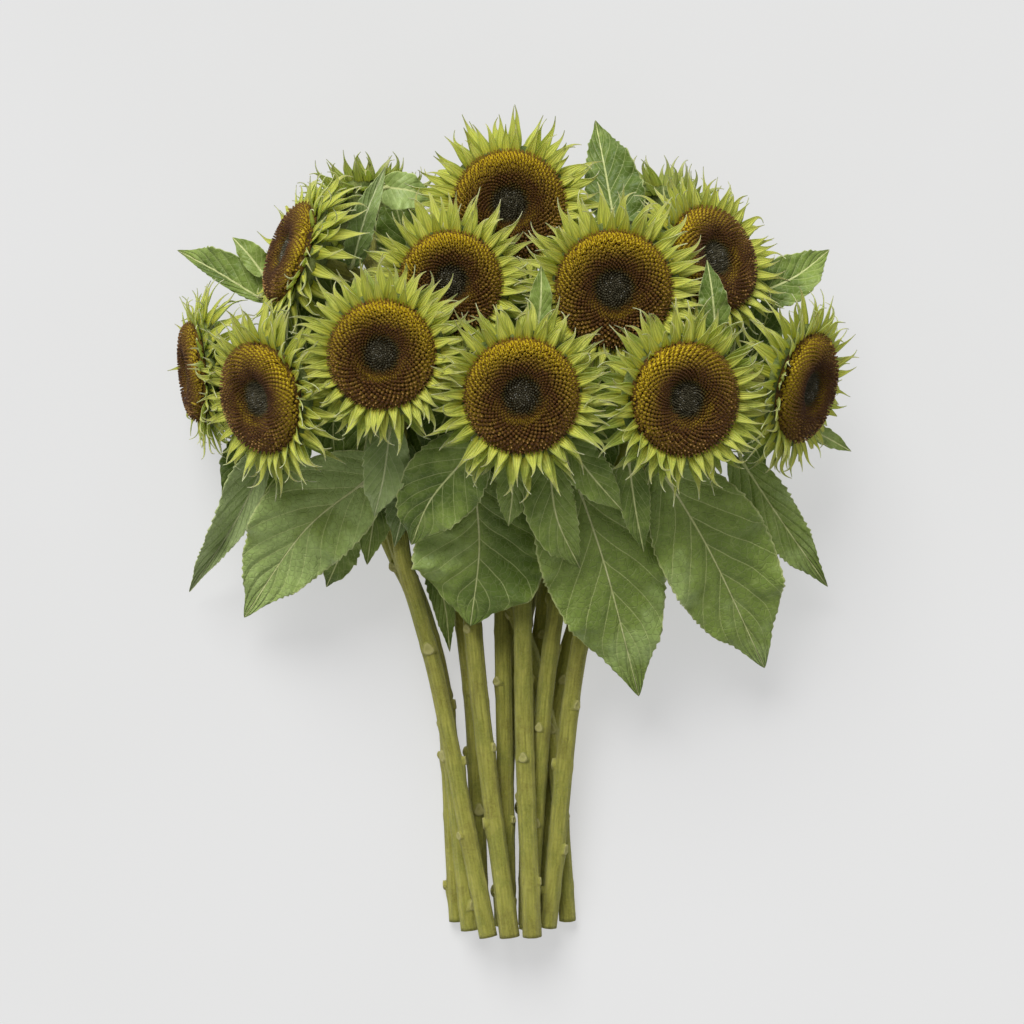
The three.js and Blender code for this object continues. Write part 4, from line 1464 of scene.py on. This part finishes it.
@dataclass
class LeafBlade:
    """One leaf: a toothed, quilted blade on a stalk that runs on as its midrib."""

    plan: LeafPlan
    seed: int
    columns: int = 28
    row_pitch: float = 1.6 * MM
    thickness: float = 0.55 * MM
    full_size: float = 160 * MM  # length of a blade whose veins stand out in full
    lobe: float = 0.45  # how far its heart's lobes reach back past the base, over the half width
    tooth_pitch: float = 7.0 * MM
    tooth: float = 2.8 * MM
    quilt: float = 2.0 * MM  # how far a wide blade swells between its side veins
    quilted_half: float = 45 * MM  # half width from which it swells in full
    wave: float = 0.13  # how far its edge waves, over the half width
    buckle: float = 0.04  # how far each half buckles, over the half width
    flutter: float = 0.15  # how far each half's fold varies along it, in radians
    drawn_tip: float = 0.3  # how much narrower the tip is than the rest of the blade's curve
    lobed: float = 0.4  # share of the midrib over which the lobes reach back
    toothed_half: float = 15 * MM  # half width from which its teeth stand out in full
    stalk_radius: float = 2.0 * MM
    rib_radius: float = 0.15 * MM  # of the midrib at its tip
    rib: Route = field(init=False)

    ROWS = (24, 120)  # fewest and most rows of faces along a blade
    STALK_GRID = (10, 60)  # faces round and along the stalk and its midrib
    MERGED = 0.02 * MM  # corners nearer than this, where the blade runs out at its base and tip

    def __post_init__(self) -> None:
        """Passes the midrib through its points."""
        self.rib = Route([placed(point) for point in self.plan.rib])
        self.random = random.Random(900 + self.seed)
        self.phase = self.random.uniform(0, TURN)
        self.waves = self.random.uniform(2.2, 3.4)

    def outline(self, t: float) -> float:
        """Half width at a share of the midrib, over its greatest, with the tip drawn out."""
        bend = math.log(0.5) / math.log(self.plan.widest)
        full = max(math.sin(math.pi * t**bend), 0.0) ** 0.8
        return full * (1 - self.drawn_tip * smoothstep(0.68, 0.95, t))

    def _tooth(self, t: float, side: float) -> float:
        """How far the edge stands out by its forward-pointing teeth, in metres."""
        place = t * self.rib.length / self.tooth_pitch + 0.37 * side + 0.5 * math.sin(9 * t + self.phase)
        cycle = place % 1.0
        saw = cycle / 0.8 if cycle < 0.8 else (1 - cycle) / 0.2
        size = 0.6 + 0.4 * math.sin(7.3 * math.floor(place) + self.phase)
        return self.tooth * size * (saw - 0.5) * smoothstep(0.04, 0.15, t) * smoothstep(1.0, 0.9, t)

    def upward(self, t: float) -> Vector:
        """The direction in which the blade faces at its midrib."""
        along = self.rib.along(t)
        return (Vector((0, 0, 1)) - along.z * along).normalized()

    def point(self, x: float, t: float) -> Vector:
        """The place of a point of the unit sheet on the blade."""
        along, up = self.rib.along(t), self.upward(t)
        left = up.cross(along)
        side = math.copysign(1.0, x)
        aside = abs(x)
        widest = self.plan.half[0 if side > 0 else 1] * MM
        half = widest * self.outline(t)
        half += min(1.0, half / self.toothed_half) * self._tooth(t, side) * aside**8
        tilt = self.plan.fold + self.flutter * math.sin(7 * t + 2 * side)
        back = aside * self.lobe * widest * max(0.0, 1 - t / self.lobed) ** 2
        rise = aside * half * math.sin(tilt) + self._quilt(aside, t, half, side)
        reach = side * aside * half * math.cos(tilt)
        point = self.rib.at(t) + reach * left + rise * up
        return point - smoothstep(0.0, 0.02, t) * back * along

    def _quilt(self, aside: float, t: float, half: float, side: float) -> float:
        """How far the blade swells between its side veins and waves towards its edge."""
        cycle = ((t - VEIN_LEAN * aside**VEIN_BEND) * VEIN_COUNT) % 1.0
        swell = self.quilt * math.sin(math.pi * ((cycle + 0.5) % 1.0))
        swell *= math.sin(math.pi * min(aside, 1.0)) ** 0.6 * min(1.0, half / self.quilted_half) ** 2
        turn = TURN * self.waves * t + self.phase + 1.3 * side
        wave = self.wave * half * (math.sin(turn) + 0.4 * math.sin(2.3 * turn)) * aside**2
        buckle = self.buckle * half * math.sin(0.6 * turn + 2 * side) * math.sin(math.pi * aside)
        return (swell + wave + buckle) * smoothstep(0.0, 0.12, t) * smoothstep(1.0, 0.85, t)

    def add_blade(self, bm: BMesh) -> None:
        """Adds the blade to a bmesh."""
        fewest, most = self.ROWS
        rows = min(max(int(self.rib.length / self.row_pitch), fewest), most)
        blade = unit_sheet(self.columns, rows)
        from_rib, tone, size = (blade.verts.layers.float.new(name) for name in ("from_rib", "tone", "size"))
        for corner in blade.verts:
            x, t = corner.co.x, corner.co.y
            corner.co = self.point(x, t)
            corner[from_rib] = (corner.co - self.rib.at(t)).length * math.copysign(1.0, x) if x else 0.0
            corner[tone] = self.plan.tone
            corner[size] = min(1.0, self.rib.length / self.full_size) ** 1.5
        bmesh.ops.reverse_faces(blade, faces=blade.faces)
        shown, hidden = (0, 1) if self.plan.above is Side.UPPER else (1, 0)
        thicken(blade, self.thickness, shown, hidden)
        bmesh.ops.remove_doubles(blade, verts=blade.verts, dist=self.MERGED)
        bmesh.ops.recalc_face_normals(blade, faces=blade.faces)
        pour(blade, bm)

    def add_stalk(self, bm: BMesh, stems: Sequence[Stem]) -> None:
        """Adds the stalk from the stem, or from the other leaf, and the midrib that it becomes."""
        base = self.rib.at(0.0)
        start = placed(self.plan.start) if self.plan.start else self._on_nearest_stem(base, stems)
        bend = base - 0.5 * (start - base).length * self.rib.along(0.0)
        path = Route([start, (start + 2 * bend + base) / 4, base])
        whole = path.length + 0.97 * self.rib.length
        slender = min(0.2 + 0.5 * self.rib.length / self.full_size, 0.7)
        stalk = unit_sheet(*self.STALK_GRID)
        stalk.verts.layers.float.new("from_rib")
        for corner in stalk.verts:
            reach = corner.co.y * whole
            on_stalk = reach < path.length
            share = reach / path.length if on_stalk else (reach - path.length) / self.rib.length
            line = path if on_stalk else self.rib
            along = line.along(share)
            up = Vector((0, 0, 1)) - along.z * along
            if up.length < 1e-4:
                up = Vector((0, 1, 0))
            up.normalize()
            radius = self.stalk_radius * (0.95 + 0.25 * smoothstep(0.12, 0.0, corner.co.y))
            if not on_stalk:
                radius *= (1 - share) ** 0.7 * (1 - (1 - slender) * smoothstep(0.0, 0.15, share))
            radius = max(radius, self.rib_radius)
            sunk = 0.0 if on_stalk else 0.8 * radius * smoothstep(0.0, 0.1, share)
            angle = math.pi * corner.co.x
            spread = radius * (math.sin(angle) * up.cross(along) + math.cos(angle) * up)
            corner.co = line.at(share) - sunk * up + spread
        bmesh.ops.remove_doubles(stalk, verts=stalk.verts, dist=SAME_PLACE)
        bmesh.ops.holes_fill(stalk, edges=[edge for edge in stalk.edges if edge.is_boundary], sides=0)
        bmesh.ops.recalc_face_normals(stalk, faces=stalk.faces)
        paint_faces(stalk.faces, 2)
        pour(stalk, bm)

    def _on_nearest_stem(self, base: Vector, stems: Sequence[Stem]) -> Vector:
        """The point on the skin of the nearest stem from which the stalk grows."""
        spots = [(stem.route.nearest(base), stem) for stem in stems]
        spot, stem = min(spots, key=lambda pair: (pair[0] - base).length)
        return spot + (base - spot).normalized() * stem.plan.stem * 0.8 * MM


@dataclass
class LeafGroup:
    """The leaves that the part holds in one node."""

    name: str
    blades: list[LeafBlade]
    in_part: bool = True

    def build(self, stems: Sequence[Stem], materials: Sequence[Material]) -> Object:
        """Makes the leaves.

        Args:
            stems: The stems that their stalks may grow from.
            materials: Finishes of the upper side, the lower side and the stalk.

        Returns:
            The finished piece.
        """
        bm = bmesh.new()
        for blade in self.blades:
            blade.add_blade(bm)
            blade.add_stalk(bm, stems)
        node = "leaf_" + self.name if self.in_part else None
        return finish_piece("blade_" + self.name, bm, materials, node)


# ---------------------------------------------------------------- studio


@dataclass
class Studio:
    """The table, the lights and the camera that looks down on the bunch."""

    camera_place: Vector = field(default_factory=lambda: Vector((-0.0009, 0.0156, 2.4)))
    lens: float = 94.0  # in millimetres
    sensor: float = 36.0  # in millimetres
    table_size: float = 40.0
    key_from: Vector = field(default_factory=lambda: Vector((-0.35, 1.0, 1.0)))
    key_strength: float = 2.9
    key_softness: float = 0.6  # the angle that the light spans, in radians
    fill_strength: float = 0.38

    def build(self) -> None:
        """Makes the table, the lights and the camera."""
        self._table()
        self._key_light()
        self._surroundings()
        self._camera()
        log.info("studio: camera at %s", tuple(round(c, 3) for c in self.camera_place))

    def _table(self) -> None:
        """The plain floor that the bunch lies on."""
        bm = bmesh.new()
        bmesh.ops.create_grid(bm, x_segments=2, y_segments=2, size=self.table_size / 2)
        mesh = bpy.data.meshes.new("table")
        bm.to_mesh(mesh)
        bm.free()
        mesh.materials.append(TABLE.build())
        table = bpy.data.objects.new("table", mesh)
        bpy.context.scene.collection.objects.link(table)

    def _key_light(self) -> None:
        """One broad soft light from beyond the heads, a little to the left."""
        lamp = bpy.data.lights.new("key light", "SUN")
        lamp.energy = self.key_strength
        lamp.angle = self.key_softness
        light = bpy.data.objects.new("key light", lamp)
        light.location = 2.0 * self.key_from
        light.rotation_euler = (-self.key_from).to_track_quat("-Z", "Y").to_euler()
        bpy.context.scene.collection.objects.link(light)

    def _surroundings(self) -> None:
        """Even white light from all round."""
        world = bpy.data.worlds.new("white studio")
        world.use_nodes = True
        background = world.node_tree.nodes["Background"]
        background.inputs["Color"].default_value = (1.0, 1.0, 1.0, 1.0)
        background.inputs["Strength"].default_value = self.fill_strength
        bpy.context.scene.world = world

    def _camera(self) -> None:
        """The camera, which looks straight down with the heads at the top of its frame."""
        data = bpy.data.cameras.new("camera")
        data.lens = self.lens
        data.sensor_width = self.sensor
        camera = bpy.data.objects.new("camera", data)
        camera.location = self.camera_place
        bpy.context.scene.collection.objects.link(camera)
        bpy.context.scene.camera = camera


# ---------------------------------------------------------------- assembly


def obstacles_for_bracts() -> BVHTree:
    """The part's discs and leaves, which bracts keep clear of."""
    bm = bmesh.new()
    for name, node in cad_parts.items():
        if name.startswith(("disc_", "leaf_")):
            bm.from_mesh(node.data)
    tree = BVHTree.FromBMesh(bm)
    bm.free()
    return tree


def corners(box: tuple[Vector, Vector]) -> list[list[float]]:
    """A box's two corners as plain lists of numbers."""
    return [list(corner) for corner in box]


def main() -> None:
    """Builds the bunch piece by piece."""
    logging.basicConfig(level=logging.INFO, format="%(message)s")
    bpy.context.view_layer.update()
    bpy.context.scene.view_settings.view_transform = "Standard"

    stems = [Stem(plan, seed) for seed, plan in enumerate(HEADS)]
    stem_materials = [finish.build() for finish in (StemFinish(), PITH, HAIR)]
    for stem in stems:
        stem.build([other for other in stems if other is not stem], stem_materials)

    obstacles = obstacles_for_bracts()
    disc_materials = [finish.build() for finish in (FloretFinish(), FLORET_GROUND)]
    calyx_materials = [finish.build() for finish in (BRACT_FACE, RECEPTACLE, BRACT_BACK)]
    for seed, plan in enumerate(HEADS):
        head = FlowerHead(plan, seed)
        head.build_disc(disc_materials)
        head.build_calyx(obstacles, calyx_materials)

    leaf_materials = [finish.build() for finish in (UPPER_SIDE, LOWER_SIDE, STALK)]
    groups: dict[str, LeafGroup] = {}
    for seed, plan in enumerate(LEAVES):
        group = groups.setdefault(plan.node, LeafGroup(plan.node, []))
        group.blades.append(LeafBlade(plan, seed))
    for group in groups.values():
        group.build(stems, leaf_materials)
    inner = [LeafBlade(plan, seed) for seed, plan in enumerate(INNER_LEAVES, start=100)]
    LeafGroup("inner", inner, in_part=False).build(stems, leaf_materials)

    Studio().build()
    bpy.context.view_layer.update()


if __name__ == "__main__":
    main()
